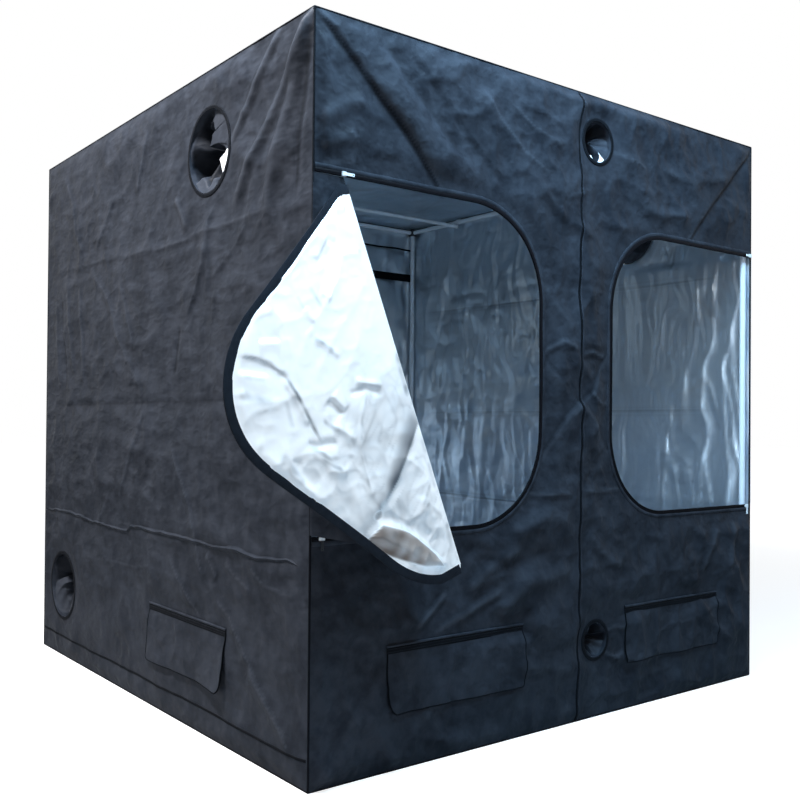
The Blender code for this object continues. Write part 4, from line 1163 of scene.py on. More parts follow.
FOLD_CUT = math.radians(34.9)
FOLD_OPEN = math.radians(3.5)
FLAP_TOP = 22 * MM
FLAP_TIP = 8 * MM
TIP_RADIUS = 26 * MM
FLAP_ROWS = 230
FLAP_COLUMNS = 125
FLAP_EDGE_STEP = 7 * MM
FLAP_BELLY = 11 * MM
FLAP_PULL = 0.115
FLAP_FALL = 0.018
FOLD_BEAD = 2.1 * MM
FOLD_STEP = 8 * MM
LEAF_AWAY = 1.15 * MM

# Small folds of the free leaf: the least lift and the heights of three layers
FLAP_LEAST = 2.0 * MM
FLAP_WAVE = 3.2 * MM
FLAP_STREAK = 2.0 * MM
FLAP_CRUMPLE = 1.2 * MM
FLAP_FOLD_EASE = 45 * MM
FLAP_EDGE_EASE = 35 * MM
TIP_REACH = 60 * MM

# Creases of the free leaf, as on the sides, with points (down the fold, away from it)
FLAP_CREASES = [
    ("facet", -2.0, 5, [(0.365, 0.50), (0.368, 0.480), (0.388, 0.43), (0.416, 0.400), (0.445, 0.372),
                        (0.495, 0.358), (0.556, 0.342), (0.64, 0.328)]),
    ("soft", 4.0, 12, [(0.44, 0.385), (0.50, 0.362), (0.58, 0.350)]),
    ("pressed", 4.0, 7, [(0.534, 0.142), (0.598, 0.178), (0.66, 0.213), (0.704, 0.226), (0.816, 0.233)]),
    ("pressed", 4.0, 6, [(0.51, 0.175), (0.544, 0.085)]),
    ("soft", -3.0, 8, [(0.536, 0.211), (0.538, 0.143), (0.566, 0.10)]),
    ("step", 7.0, 9, [(0.570, -0.12), (0.655, -0.017), (0.705, 0.045), (0.786, 0.133), (0.832, 0.206),
                      (0.890, 0.280)]),
    ("facet", 7.0, 9, [(0.86, 0.25), (0.899, 0.165), (0.95, 0.12), (1.0, 0.085), (1.06, 0.04)]),
    ("facet", -4.0, 7, [(0.88, 0.285), (0.944, 0.209), (1.022, 0.129), (1.06, 0.06)]),
    ("pressed", 3.0, 6, [(0.849, 0.069), (0.956, 0.078)]),
    ("pressed", 3.0, 6, [(0.841, 0.018), (0.931, 0.008)]),
    ("pressed", 3.0, 7, [(0.375, 0.264), (0.441, 0.189)]),
    ("facet", 2.4, 5, [(0.136, 0.111), (0.197, 0.175)]),
    ("pressed", 3.0, 6, [(0.196, 0.093), (0.201, 0.019)]),
    ("pressed", 2.4, 6, [(0.272, 0.195), (0.295, 0.163)]),
    ("pressed", 2.4, 6, [(0.299, 0.255), (0.341, 0.241)]),
    ("facet", 3.0, 5, [(0.346, 0.423), (0.36, 0.354)]),
    ("pressed", 4.0, 8, [(0.597, 0.286), (0.614, 0.257), (0.653, 0.221)]),
    ("pressed", -4.0, 7, [(0.61, 0.375), (0.631, 0.344), (0.64, 0.278)]),
    ("pressed", 3.0, 7, [(0.695, 0.339), (0.716, 0.277)]),
    ("facet", -4.0, 6, [(0.525, 0.263), (0.577, 0.233)]),
    ("facet", 4.0, 8, [(0.628, 0.438), (0.689, 0.415), (0.738, 0.386)]),
    ("pressed", 2.0, 6, [(0.079, 0.067), (0.083, 0.032)]),
    ("facet", 2.4, 6, [(0.399, 0.504), (0.432, 0.419)]),
    ("pressed", 2.4, 5, [(0.45, 0.532), (0.452, 0.498)]),
]


def find_joint(name):
    return next(item for item in frame["joints"] if item["name"] == name)


class Leaf:
    """The left door's free leaf: a place is a distance down its fold and a distance away from it."""

    def __init__(self):
        fold = find_joint("left_door_fold")
        self.top = Vector(fold["pos_m"])
        self.down = -Vector(fold["axis"]).normalized()
        flat_side = -self.down.cross(Vector((0, 1, 0))).normalized()
        self.side = Matrix.Rotation(-FOLD_OPEN, 3, self.down) @ flat_side
        self.back = self.down.cross(self.side)
        self.cut = np.array([math.sin(FOLD_CUT), -math.cos(FOLD_CUT)])
        self.away = np.array([math.cos(FOLD_CUT), math.sin(FOLD_CUT)])
        self.start = np.array([self.top.x, self.top.z])
        line = door_line(-1, LEFT_DOOR_SEAM, -LEAF_GAP)
        self.outline = np.array(line + line[:1])
        self.length = self.reach(self.start, self.cut)
        self.rows = np.linspace(FLAP_TOP, self.length - FLAP_TIP, FLAP_ROWS)
        self.widths = np.array([self.reach(self.start + self.cut * row, self.away) for row in self.rows])

    def reach(self, start, direction):
        """Distance from a place of the leaf to its edge."""
        first = self.outline[:-1]
        edge = self.outline[1:] - first
        cross = direction[0] * edge[:, 1] - direction[1] * edge[:, 0]
        cross = np.where(np.abs(cross) < TINY * TINY, TINY * TINY, cross)
        offset = first - start
        along = (offset[:, 0] * edge[:, 1] - offset[:, 1] * edge[:, 0]) / cross
        share = (offset[:, 0] * direction[1] - offset[:, 1] * direction[0]) / cross
        hits = along[(share >= -TINY) & (share <= 1 + TINY)]
        return float(max(hits.max(), 0.0))

    def width(self, row):
        return np.interp(row, self.rows, self.widths)

    def inset(self, row):
        """How far the rounded tip stands back from the fold."""
        share = np.clip((row - self.rows[-1] + TIP_RADIUS) / TIP_RADIUS, 0.0, 1.0)
        return GAP + TIP_RADIUS * (1 - np.sqrt(1 - share * share))

    def drawn(self, row, away):
        """Distances down and away from the fold after the leaf's own weight has drawn it out."""
        share = row / self.length
        pulled = away * (1 + FLAP_PULL * np.sin(np.pi * np.clip(share, 0, 1)) ** 1.5)
        return row * (1 + FLAP_FALL * smooth(share)), pulled

    def lift(self, row, away):
        widest = self.widths.max()
        along = (row - FLAP_TOP) / (self.length - FLAP_TOP)
        belly = FLAP_BELLY * np.sin(np.pi * np.clip(along, 0, 1))
        belly = belly * np.sin(np.pi / 2 * np.clip(away / widest, 0, 1))
        folds = FLAP_LEAST + FLAP_WAVE * ridges(noise(row, away, 0.12, 901))
        folds = folds + FLAP_STREAK * ridges(turned_noise(row, away, 0.16, 0.06, 0.8, 902))
        folds = folds + FLAP_CRUMPLE * soft_ridges(noise(row, away, 0.035, 903))
        fallen, pulled = self.drawn(row, away)
        for kind, height, width, points in FLAP_CREASES:
            folds = folds + crease(fallen, pulled, kind, height * MM, width * MM, points)
        by_edge = smooth((away - self.width(row) + FLAP_FOLD_EASE) / FLAP_EDGE_EASE)
        by_tip = smooth((row - self.rows[-1] + TIP_REACH) / FLAP_FOLD_EASE)
        ease = smooth(away / FLAP_FOLD_EASE) * (1 - 0.75 * by_edge) * (1 - 0.9 * by_tip)
        return np.maximum(belly + ease * folds, 0.0)

    def place(self, row, away, out=0.0):
        """World points of the leaf; out is toward the viewer of its silver side."""
        row = np.asarray(row, float)
        away = np.asarray(away, float)
        lift = LEAF_AWAY + self.lift(row, away) + out
        fallen, pulled = self.drawn(row, away)
        return (
            np.array(self.top)
            + fallen[..., None] * np.array(self.down)
            + pulled[..., None] * np.array(self.side)
            - lift[..., None] * np.array(self.back)
        )


# Painted dark reflection on the free leaf, where it mirrors the dark ground: depth, half width in millimetres
# and points
FLAP_SHADES = [
    (0.45, 3.5, [(0.366, 0.488), (0.385, 0.433), (0.410, 0.406), (0.443, 0.373)]),
    (0.90, 5, [(0.440, 0.378), (0.495, 0.361), (0.556, 0.345), (0.623, 0.330)]),
    (0.42, 42, [(0.620, 0.085), (0.700, 0.150), (0.790, 0.215)]),
    (0.35, 30, [(0.740, 0.330), (0.800, 0.290), (0.850, 0.250)]),
    (0.55, 4, [(0.344, 0.425), (0.352, 0.385), (0.360, 0.349)]),
    (0.65, 7, [(0.374, 0.260), (0.398, 0.232), (0.426, 0.207)]),
    (0.30, 7, [(0.144, 0.088), (0.186, 0.146)]),
    (0.35, 6, [(0.191, 0.080), (0.196, 0.012)]),
    (0.35, 7, [(0.249, 0.220), (0.310, 0.203)]),
    (0.25, 6, [(0.265, 0.266), (0.305, 0.258)]),
    (0.60, 5, [(0.536, 0.139), (0.608, 0.189), (0.683, 0.224), (0.818, 0.235)]),
    (0.60, 9, [(0.609, 0.375), (0.671, 0.320), (0.689, 0.226)]),
    (0.65, 8, [(0.573, 0.306), (0.618, 0.263)]),
    (0.55, 8, [(0.529, 0.280), (0.581, 0.235)]),
    (0.60, 9, [(0.642, 0.372), (0.714, 0.287)]),
    (0.45, 6, [(0.523, 0.160), (0.551, 0.083)]),
    (0.80, 12, [(0.470, -0.004), (0.535, 0.004), (0.600, 0.010)]),
    (0.40, 12, [(0.451, 0.516), (0.497, 0.431)]),
    (0.35, 10, [(0.409, 0.493), (0.438, 0.431)]),
    (0.60, 13, [(0.616, 0.454), (0.704, 0.412)]),
    (0.35, 8, [(0.497, 0.394), (0.571, 0.399)]),
    (0.50, 7, [(0.825, 0.018), (0.886, 0.082)]),
    (0.55, 8, [(0.932, 0.014), (0.883, 0.052), (0.910, 0.148)]),
    (0.40, 7, [(0.773, 0.006), (0.855, 0.011)]),
    (0.60, 9, [(0.944, 0.004), (1.024, 0.018)]),
]
# Brown patch and spot of painted reflection, where the leaf mirrors the brown ground
BROWN_PATCH = [(0.899, 0.293), (0.875, 0.223), (0.925, 0.145), (1.004, 0.083), (1.051, 0.060), (1.023, 0.129),
               (0.965, 0.215)]
BROWN_SPOT = (0.849, 0.226)
STEP_EDGE = [(0.655, -0.017), (0.705, 0.045), (0.786, 0.133), (0.832, 0.206)]

# The band of painted dark reflection along the step: its depth, its width above at the upper end, how much that
# tapers, and below
BAND_DEPTH = 0.95
BAND_TOP = 58 * MM
BAND_TAPER = 30 * MM
BAND_EDGE = 3 * MM

# Where the film stays bright below the step, with less painted dark: away from it and down the fold
GLOSS_BELOW = (6 * MM, 30 * MM)
GLOSS_ROWS = (0.62, 0.85)
STEP_EASE = 5 * MM
PATCH_EASE = 7 * MM
SPOT_RADIUS = 24 * MM
SPOT_EASE = 14 * MM


def flap_painted_reflection(row, away):
    """Painted reflection on the leaf's film: 1 where it is painted dark for the dark ground it mirrors, -1 where
    it is painted brown for the brown ground.
    """
    _, beyond, edge_share = polyline_distance(row, away, STEP_EDGE)
    above = smooth(beyond / STEP_EASE + 0.5)
    reach = smooth((row - 0.40) / 0.25) * smooth((0.44 - away) / 0.20)
    cloud = smooth(0.5 + noise(row, away, 0.07, 921))
    crinkle = soft_ridges(noise(row, away, 0.034, 922))
    fine = soft_ridges(turned_noise(row, away, 0.045, 0.018, 0.9, 924))
    painted_dark = reach * (0.04 + 0.22 * cloud) * (0.35 + 0.65 * above)
    painted_dark = painted_dark + (0.02 + 0.16 * reach) * np.clip(crinkle - 0.35, 0, 1) * 1.4
    painted_dark = painted_dark + (0.02 + 0.16 * reach) * np.clip(fine - 0.35, 0, 1) * 1.4
    rough = 0.75 + 0.35 * noise(row, away, 0.016, 925)
    for depth, width, points in FLAP_SHADES:
        distance, _, share = polyline_distance(row, away, points)
        ends = smooth(share * 4 + 0.25) * smooth((1 - share) * 4 + 0.25)
        painted_dark = np.maximum(painted_dark, depth * rough * ends * np.exp(-(distance / (width * MM)) ** 2))
    band_width = np.where(beyond > 0, BAND_TOP - BAND_TAPER * edge_share, BAND_EDGE)
    band = smooth(edge_share * 5 + 0.4) * smooth((1 - edge_share) * 3 + 0.2)
    band = band * np.exp(-np.abs(beyond / band_width) ** 3)
    painted_dark = np.maximum(painted_dark, BAND_DEPTH * (0.9 + 0.15 * noise(row, away, 0.05, 926)) * band)
    low, high = GLOSS_BELOW
    start, end = GLOSS_ROWS
    gloss = (beyond < -low) & (beyond > -high) & (row > start) & (row < end)
    painted_dark = painted_dark * np.where(gloss, 0.35, 1.0)
    inside = np.full(np.shape(row), 1.0)
    for (x0, y0), (x1, y1) in zip(BROWN_PATCH, BROWN_PATCH[1:] + BROWN_PATCH[:1]):
        run = math.dist((x0, y0), (x1, y1))
        inside = np.minimum(inside, ((x1 - x0) * (away - y0) - (y1 - y0) * (row - x0)) / run)
    spot = np.hypot((row - BROWN_SPOT[0]) * 1.6, away - BROWN_SPOT[1])
    brown = smooth(inside / PATCH_EASE + 0.5) * (0.80 + 0.25 * noise(row, away, 0.03, 923))
    brown = np.maximum(brown, 0.55 * smooth((SPOT_RADIUS - spot) / SPOT_EASE))
    return np.clip(painted_dark * (1 - brown) - brown, -1.0, 1.0)


def inward(line):
    """Unit steps to the left or right of a plane line, on the side of the line's middle."""
    ahead = np.gradient(line, axis=0)
    ahead /= np.linalg.norm(ahead, axis=1)[:, None]
    left = np.stack([-ahead[:, 1], ahead[:, 0]], 1)
    return -left if np.sum((line.mean(0) - line) * left) < 0 else left


def build_flap(leaf):
    rows = leaf.rows
    row = np.repeat(rows, FLAP_COLUMNS)
    start = np.minimum(leaf.inset(row), 0.8 * leaf.width(row))
    away = start + (leaf.width(row) - start) * np.tile(np.linspace(0.0, 1.0, FLAP_COLUMNS), len(rows))
    out = -np.array(leaf.back)
    front = leaf.place(row, away, CLOTH / 2)
    faces = facing(front, grid_faces(len(rows), FLAP_COLUMNS), out)
    flap = two_sided("left_door_leaf", front, leaf.place(row, away, -CLOTH / 2), faces,
                     pairs(row, away), FILM_FLAP, CANVAS_SKIN, tone=flap_painted_reflection(*leaf.drawn(row, away)))
    finish_piece(flap, "left_flap", ["left_door_flap"])
    edge_row = np.concatenate([[rows[0]], rows, [rows[-1]]])
    edge_away = np.concatenate([[0.0], leaf.widths, [0.25 * TIP_RADIUS]])
    edge = resample(pairs(edge_row, edge_away), FLAP_EDGE_STEP)
    bound = edge + inward(edge) * (LEAF_BAND / 2 - LEAF_BAND_PAST)
    edge = resample(edge, TOOTH_PITCH / 2)
    trims = leaf_edge("left", leaf.place(bound[:, 0], bound[:, 1], CLOTH / 2),
                      leaf.place(edge[:, 0], edge[:, 1]), out, LEAF_BINDING_PAINTED_SHEEN)
    sheet_area(faces, row, away)


def build_fold_bead(leaf):
    """The rounded fold itself, between the apron and the free leaf."""
    row = np.arange(FLAP_TOP, leaf.length - FLAP_TIP, FOLD_STEP)
    path = np.array(leaf.top) + row[:, None] * np.array(leaf.down)
    section = round_section(FOLD_BEAD, 10)
    trim("left_door_fold_edge", path, -np.array(leaf.back), section, FILM_FLAP, "left_apron", "silver_film")


APRON_WAVE = 42 * MM
APRON_EASE = 0.333
APRON_LIFT = 5 * MM
APRON_SHORT = 20 * MM
APRON_GRID = (70, 150)
APRON_CRUMPLE = 1.3 * MM
APRON_STREAK = 1.6 * MM


def build_apron(leaf):
    """The strip of the left leaf that stays at the corner and hangs slack behind the free leaf."""
    hinge = find_joint("left_door_swing")["pos_m"]
    low = DOOR_LOW + APRON_LIFT
    s, t = np.meshgrid(*(np.linspace(0.0, 1.0, count) for count in APRON_GRID), indexing="ij")
    fold_row = (leaf.length - APRON_SHORT) * t
    fold = np.array(leaf.top) + fold_row[..., None] * np.array(leaf.down)
    fold = fold + np.array(leaf.back) * LEAF_AWAY
    start = np.stack([np.full(t.shape, hinge[0]), np.full(t.shape, hinge[1]),
                      leaf.top.z + (low - leaf.top.z) * t], -1)
    spot = start * (1 - s[..., None]) + fold * s[..., None]
    ease = np.minimum((1 - s) / APRON_EASE, 1.0)
    wave = APRON_WAVE * np.sin(np.pi / 2 * t) * np.sin(math.tau * s)
    slack = np.sin(np.pi * s) * (
        APRON_CRUMPLE * noise(spot[..., 0], spot[..., 2], 0.05, 951)
        + APRON_STREAK * ridges(turned_noise(spot[..., 0], spot[..., 2], 0.12, 0.03, 0.25, 952))
    )
    ahead = spot.copy()
    ahead[..., 1] -= (wave + slack) * ease
    outer = ahead.reshape(-1, 3)
    inner = outer + np.array([0.0, 0.9 * CLOTH, 0.0])
    faces = facing(outer, grid_faces(*s.shape), FRONT.out)
    apron = two_sided("left_door_apron_cloth", outer, inner, faces, pairs(spot[..., 0], spot[..., 2]),
                      CANVAS_SKIN, FILM_FLAP)
    finish_piece(apron, "left_apron", ["left_door_apron"])


# Right door: the whole leaf is swung round the corner and hangs beside the right wall

RIGHT_LEAF_RELIEF = 20 * MM
RIGHT_LEAF_STRIP = 36 * MM
RIGHT_LEAF_RISE = 60 * MM
RIGHT_LEAF_FOLDS = 2.5
RIGHT_LEAF_DRIFT = 2.0
RIGHT_LEAF_GRID = (150, 130)
RIGHT_LEAF_CREASE = 2.2 * MM
RIGHT_LEAF_GRAIN = 0.6 * MM


def build_right_leaf():
    hinge = find_joint("right_door_swing")["pos_m"]
    low = DOOR_LOW + LEAF_GAP
    high = DOOR_HIGH - LEAF_GAP
    radius = DOOR_RADIUS - LEAF_GAP
    full = DOOR_HINGE - RIGHT_DOOR_SEAM - LEAF_GAP + (hinge[0] - DOOR_HINGE)

    def width(height):
        edge = np.maximum(np.maximum(low + radius - height, height - high + radius), 0.0)
        return full - radius + np.sqrt(np.maximum(radius ** 2 - edge ** 2, 0.0))

    def point(height, away, out=0.0):
        across = away / full
        along = (height - low) / (high - low)
        rise = np.clip((away - RIGHT_LEAF_STRIP) / RIGHT_LEAF_RISE, 0.0, 1.0)
        turn = math.tau * RIGHT_LEAF_FOLDS * across + RIGHT_LEAF_DRIFT * along
        lift = RIGHT_LEAF_RELIEF * rise * (1.0 - 0.4 * (1.0 - np.cos(turn))) * (1.0 - 0.4 * along)
        crinkle = RIGHT_LEAF_CREASE * ridges(noise(away, height, 0.10, 971))
        crinkle = crinkle + RIGHT_LEAF_GRAIN * noise(away, height, 0.025, 972)
        lift = lift + smooth(rise) * crinkle + out
        return np.stack([hinge[0] + lift, hinge[1] + away, height], -1)

    rows, columns = RIGHT_LEAF_GRID
    height = np.repeat(low + (high - low) * np.linspace(0.0, 1.0, rows), columns)
    away = width(height) * np.tile(np.linspace(0.0, 1.0, columns), rows)
    outer = point(height, away, CLOTH / 2)
    faces = facing(outer, grid_faces(rows, columns), RIGHT.out)
    leaf = two_sided("right_door_leaf", outer, point(height, away, -CLOTH / 2), faces,
                     pairs(away, height), FILM_FLAP, CANVAS_SKIN)
    finish_piece(leaf, "right_leaf", ["right_door"])

    def along_edge(inset, step, out):
        line = np.array(door_line(1, RIGHT_DOOR_SEAM, -LEAF_GAP - inset))
        line = resample(pairs(hinge[0] - line[:, 0], line[:, 1]), step)
        return point(line[:, 1], line[:, 0], out)

    trims = leaf_edge("right", along_edge(LEAF_BAND / 2 - LEAF_BAND_PAST, TRIM_STEP, CLOTH / 2),
                      along_edge(0.0, TOOTH_PITCH / 2, 0.0), RIGHT.out, BINDING)
    sheet_area(faces, away, height)


# Port sleeves: a stitched collar and a tube of cloth gathered shut inside

COLLAR_THICKNESS = 1.9 * MM
COLLAR_LIFT = 0.2 * MM
LOBE_FRONT = 4 * MM
LOBE_SLOPE = 14 * MM
SLEEVE_DEPTH = 108 * MM
SLEEVE_ROWS = 46
SLEEVE_STEPS = 128
SLEEVE_FRONT = 2 * MM
SLEEVE_CLEAR = 0.995

# Where each sleeve's gathered end lies, as shares of the port's radius, and the folds' turn
SLEEVE_ENDS = {
    "sleeve_left_upper": (-0.30, 0.20, 0.3),
    "sleeve_left_lower": (0.10, 0.05, 1.4),
    "sleeve_right_upper": (0.15, 0.20, 2.2),
    "sleeve_right_lower": (-0.10, 0.10, 0.9),
    "sleeve_front_upper": (-0.25, 0.15, 1.0),
    "sleeve_front_lower": (0.05, 0.10, 2.0),
}
SLEEVE_WAVES = ((3, 0.10), (5, 0.11), (8, 0.06), (13, 0.03))

# Parts of each sleeve that fold forward into the light: direction and spread in degrees, inner and outer share
# of the tube, how far forward, painted highlight, and whether the silver side shows
SLEEVE_LOBES = {
    "sleeve_left_upper": [
        (56, 20, 0.10, 0.55, 0.95, 1.0, False),
        (4, 36, 0.12, 0.74, 1.00, 0.12, False),
        (-38, 13, 0.16, 0.52, 1.00, 1.0, True),
        (-112, 34, 0.06, 0.34, 0.80, 0.9, False),
    ],
    "sleeve_left_lower": [
        (70, 36, 0.10, 0.60, 0.5, 0.9, False),
        (-20, 28, 0.12, 0.70, 0.7, 0.8, False),
        (-140, 40, 0.10, 0.55, 0.6, 0.9, False),
    ],
    "sleeve_right_upper": [(-60, 60, 0.10, 0.55, 0.6, 0.4, False)],
    "sleeve_right_lower": [(120, 60, 0.10, 0.55, 0.6, 0.4, False)],
    "sleeve_front_upper": [
        (-18, 44, 0.12, 0.70, 0.6, 0.2, False),
        (-80, 30, 0.10, 0.40, 0.8, 1.0, True),
    ],
    "sleeve_front_lower": [
        (120, 40, 0.12, 0.65, 0.6, 0.5, False),
        (-45, 40, 0.12, 0.65, 0.7, 0.9, False),
    ],
}


def sleeve_lobe(lobe, s, a):
    """Share of a lobe at places of a sleeve."""
    heading, spread, inner, outer = lobe[:4]
    apart = np.abs((a - math.radians(heading) + math.pi) % math.tau - math.pi)
    beside = smooth((math.radians(spread) - apart) / math.radians(0.35 * spread) + 0.5)
    return beside * smooth((s - inner) / 0.05 + 0.5) * smooth((outer - s) / 0.08 + 0.5)


def build_port(node, side):
    x, y, radius = port_on(side, node)
    end_x, end_y, turn = SLEEVE_ENDS[node]
    turns = math.tau * np.arange(SLEEVE_STEPS) / SLEEVE_STEPS
    ring = radius + COLLAR_WIDTH / 2
    path = side.place(x + ring * np.cos(turns), y + ring * np.sin(turns), COLLAR_LIFT)
    section = flat_section(COLLAR_WIDTH, COLLAR_THICKNESS)
    collar = trim(node + "_collar", path, side.out, section, TAPE, closed=True)
    s, a = np.meshgrid(np.linspace(0.0, 1.0, SLEEVE_ROWS), turns, indexing="ij")
    grown = smooth((s - 0.08) / 0.92)
    folds = sum(size * np.cos(count * a + turn * (1 + count) + 1.6 * grown) for count, size in SLEEVE_WAVES)
    swell = np.sin(np.pi * np.clip(s * 1.05, 0, 1)) ** 0.8
    reach = radius * np.clip(1 - 0.94 * grown ** 0.85 + 1.25 * folds * swell, 0.02, SLEEVE_CLEAR)
    reach = np.where(s < 0.10, radius * (1 - 0.005 - 0.05 * s), reach)
    spin = a + 0.8 * grown * math.sin(3 * turn)
    fall = SLEEVE_FRONT - SLEEVE_DEPTH * np.sin(np.pi / 2 * np.clip(s * 1.1, 0, 1)) * (0.55 + 0.45 * s)
    fall = fall + 0.16 * radius * np.cos(4 * a + 2 * turn + 3 * s) * swell
    # Painted shade deep inside the sleeve; the lobes below get a painted highlight
    sleeve_painted_light = -1.0 * smooth((s - 0.06) / 0.10)
    silver = np.zeros(s.shape)
    for lobe in SLEEVE_LOBES[node]:
        share = sleeve_lobe(lobe, s, a)
        forward, tone, film = lobe[4:]
        fall = fall * (1 - share * forward) - share * forward * (LOBE_FRONT + LOBE_SLOPE * s)
        sleeve_painted_light = sleeve_painted_light * (1 - share) + tone * share
        silver = np.maximum(silver, share * film)
    fall = np.clip(fall, -SLEEVE_DEPTH, SLEEVE_FRONT)
    off_x = reach * np.cos(spin) + radius * end_x * grown
    off_y = reach * np.sin(spin) + radius * end_y * grown
    widest = radius * SLEEVE_CLEAR
    limit = widest / np.maximum(np.hypot(off_x, off_y), widest)
    points = side.flat(x + off_x * limit, y + off_y * limit, fall).reshape(-1, 3)
    faces = tube_faces(SLEEVE_ROWS, SLEEVE_STEPS)
    silver = silver.ravel()
    slots = [int(min(silver[corner] for corner in face) > 0.5) for face in faces]
    shell = make_object(node + "_cloth", points, faces, slots, pairs(a * radius, s * SLEEVE_DEPTH * 2),
                        (CANVAS_SLEEVE, FILM_SLEEVE), sleeve_painted_light.ravel() * (1 - silver))
    fix_normals(shell)
    finish_piece(shell, "tent", [node])


# Window covers and the nets behind them

COVER_THICKNESS = 2 * MM
COVER_CELL = 5.5 * MM
COVER_BAND = 18 * MM
COVER_BAND_THICKNESS = 1.2 * MM
COVER_LIP = 7 * MM
COVER_LIP_THICKNESS = 3.4 * MM
COVER_PAST = 3 * MM
COVER_WAVE = 2.4 * MM
COVER_STREAK = 1.6 * MM
COVER_EDGE_STEP = 5 * MM
PIPING_RADIUS = 2.3 * MM
CORNER_STEPS = 8
NET_PITCH = 5 * MM
NET_THREAD = 0.55 * MM
NET_MARGIN = 4 * MM

# Radii of each cover's low corners, left and right, and how far it stands off the wall: at its low edge, and
# further at its left and right low corners
COVER_CORNERS = {
    "cover_front_left": (34 * MM, 8 * MM),
    "cover_front_right": (10 * MM, 8 * MM),
    "cover_left": (14 * MM, 24 * MM),
    "cover_right": (18 * MM, 18 * MM),
}
COVER_STAND = {
    "cover_front_left": (3 * MM, 4 * MM, 1 * MM),
    "cover_front_right": (2 * MM, 4 * MM, 2 * MM),
    "cover_left": (5 * MM, 3 * MM, 20 * MM),
    "cover_right": (3 * MM, 2 * MM, 4 * MM),
}


def build_cover(node, side, body):
    left, low, right, high = cover_on(side, node)
    stand, stand_left, stand_right = COVER_STAND[node]
    corner_left, corner_right = COVER_CORNERS[node]
    span = right - left
    drop = high - low

    def inside(x, y):
        """Distance to the cover's edge, positive on the cloth: the low corners are round."""
        corner = np.where(x < (left + right) / 2, corner_left, corner_right)
        u = np.abs(x - (left + right) / 2) - (span / 2 - corner)
        v = (low + corner) - y
        round_low = np.hypot(np.maximum(u, 0), np.maximum(v, 0)) + np.minimum(np.maximum(u, v), 0) - corner
        return -np.maximum(round_low, y - high)

    def place(x, y, lift=0.0):
        share = np.clip((high - COVER_BAND - y) / (drop - COVER_BAND), 0, 1)
        to_left = smooth(1 - (x - left) / (0.35 * span))
        to_right = smooth(1 - (right - x) / (0.35 * span))
        away = (stand + stand_left * to_left + stand_right * to_right) * share ** 1.6
        wave = COVER_WAVE * noise(x, y, 0.085, side.seed + 61)
        wave = share * (wave + COVER_STREAK * ridges(turned_noise(x, y, 0.20, 0.04, 2.7, side.seed + 62)))
        return side.place(x, y, GAP + away + np.maximum(wave, -0.8 * away) + lift)

    xs = grid_lines(left, right, COVER_CELL)
    x, y, faces, area = cut_grid(xs, grid_lines(low, high, COVER_CELL), inside)
    faces = facing(side.flat(x, y), faces, side.out)
    cover = two_sided(node + "_cloth", place(x, y, COVER_THICKNESS), place(x, y), faces,
                      pairs(x, y), CANVAS_SKIN, CANVAS_SHADE)
    finish_piece(cover, body, [node])
    edge = [(left, high)]
    corners = ((left + corner_left, corner_left, math.pi), (right - corner_right, corner_right, 1.5 * math.pi))
    for middle_x, corner, first in corners:
        for index in range(CORNER_STEPS + 1):
            turn = first + math.pi / 2 * index / CORNER_STEPS
            edge.append((middle_x + corner * math.cos(turn), low + corner + corner * math.sin(turn)))
    edge.append((right, high))
    line = resample(edge, COVER_EDGE_STEP)
    path = place(line[:, 0], line[:, 1], COVER_THICKNESS / 2)
    trims = [trim(node + "_piping", path, side.out, round_section(PIPING_RADIUS, 8), BINDING, body)]
    band = flat_section(COVER_BAND, COVER_BAND_THICKNESS)
    lip = flat_section(COVER_LIP, COVER_LIP_THICKNESS, 0.7)
    strips = (("band", COVER_LIP + COVER_BAND / 2, band, TAPE), ("lip", COVER_LIP / 2, lip, CANVAS_HEM))
    for name, down, section, material in strips:
        line = resample([(left - COVER_PAST, high - down), (right + COVER_PAST, high - down)], TRIM_STEP)
        path = place(line[:, 0], line[:, 1], COVER_THICKNESS)
        trims.append(trim(f"{node}_{name}", path, side.out, section, material, body))
    build_net(node, side)


def build_net(node, side):
    """The window's net, as real threads."""
    left, low, right, high = window_box(side, node)
    points = []
    faces = []

    def thread(start, end, out, across):
        base = len(points)
        for spot in (start, end):
            middle = side.flat(spot[0], spot[1], out)
            for part, rise in ((-1, 0), (0, 1), (1, 0), (0, -1)):
                points.append(middle + NET_THREAD * (part * across + rise * side.out))
        faces.extend(tuple(base + corner for corner in face) for face in tube_faces(2, 4))

    for x in np.arange(left + NET_PITCH, right, NET_PITCH):
        thread((x, low - NET_MARGIN), (x, high + NET_MARGIN), -CLOTH, side.right)
    for y in np.arange(low + NET_PITCH, high, NET_PITCH):
        thread((left - NET_MARGIN, y), (right + NET_MARGIN, y), -CLOTH - NET_THREAD, side.up)
    net = make_object(node + "_net", np.array(points), faces, None, None, (ZIP,))
    fix_normals(net)
    finish_piece(net, "tent")


# Seams, bindings and straps

BINDING_RADIUS = 3.4 * MM
BINDING_SUNK = 0.45
BINDING_STEP = 20 * MM
SEAM_WIDTH = 8 * MM
SEAM_THICKNESS = 2 * MM
SEAM_END = 6 * MM
SEAM_STEP = 10 * MM
SEAM_WANDER = 1.3 * MM
SEAM_PIPING = 3 * MM
PIPING_FROM_LAP = 2.4 * MM


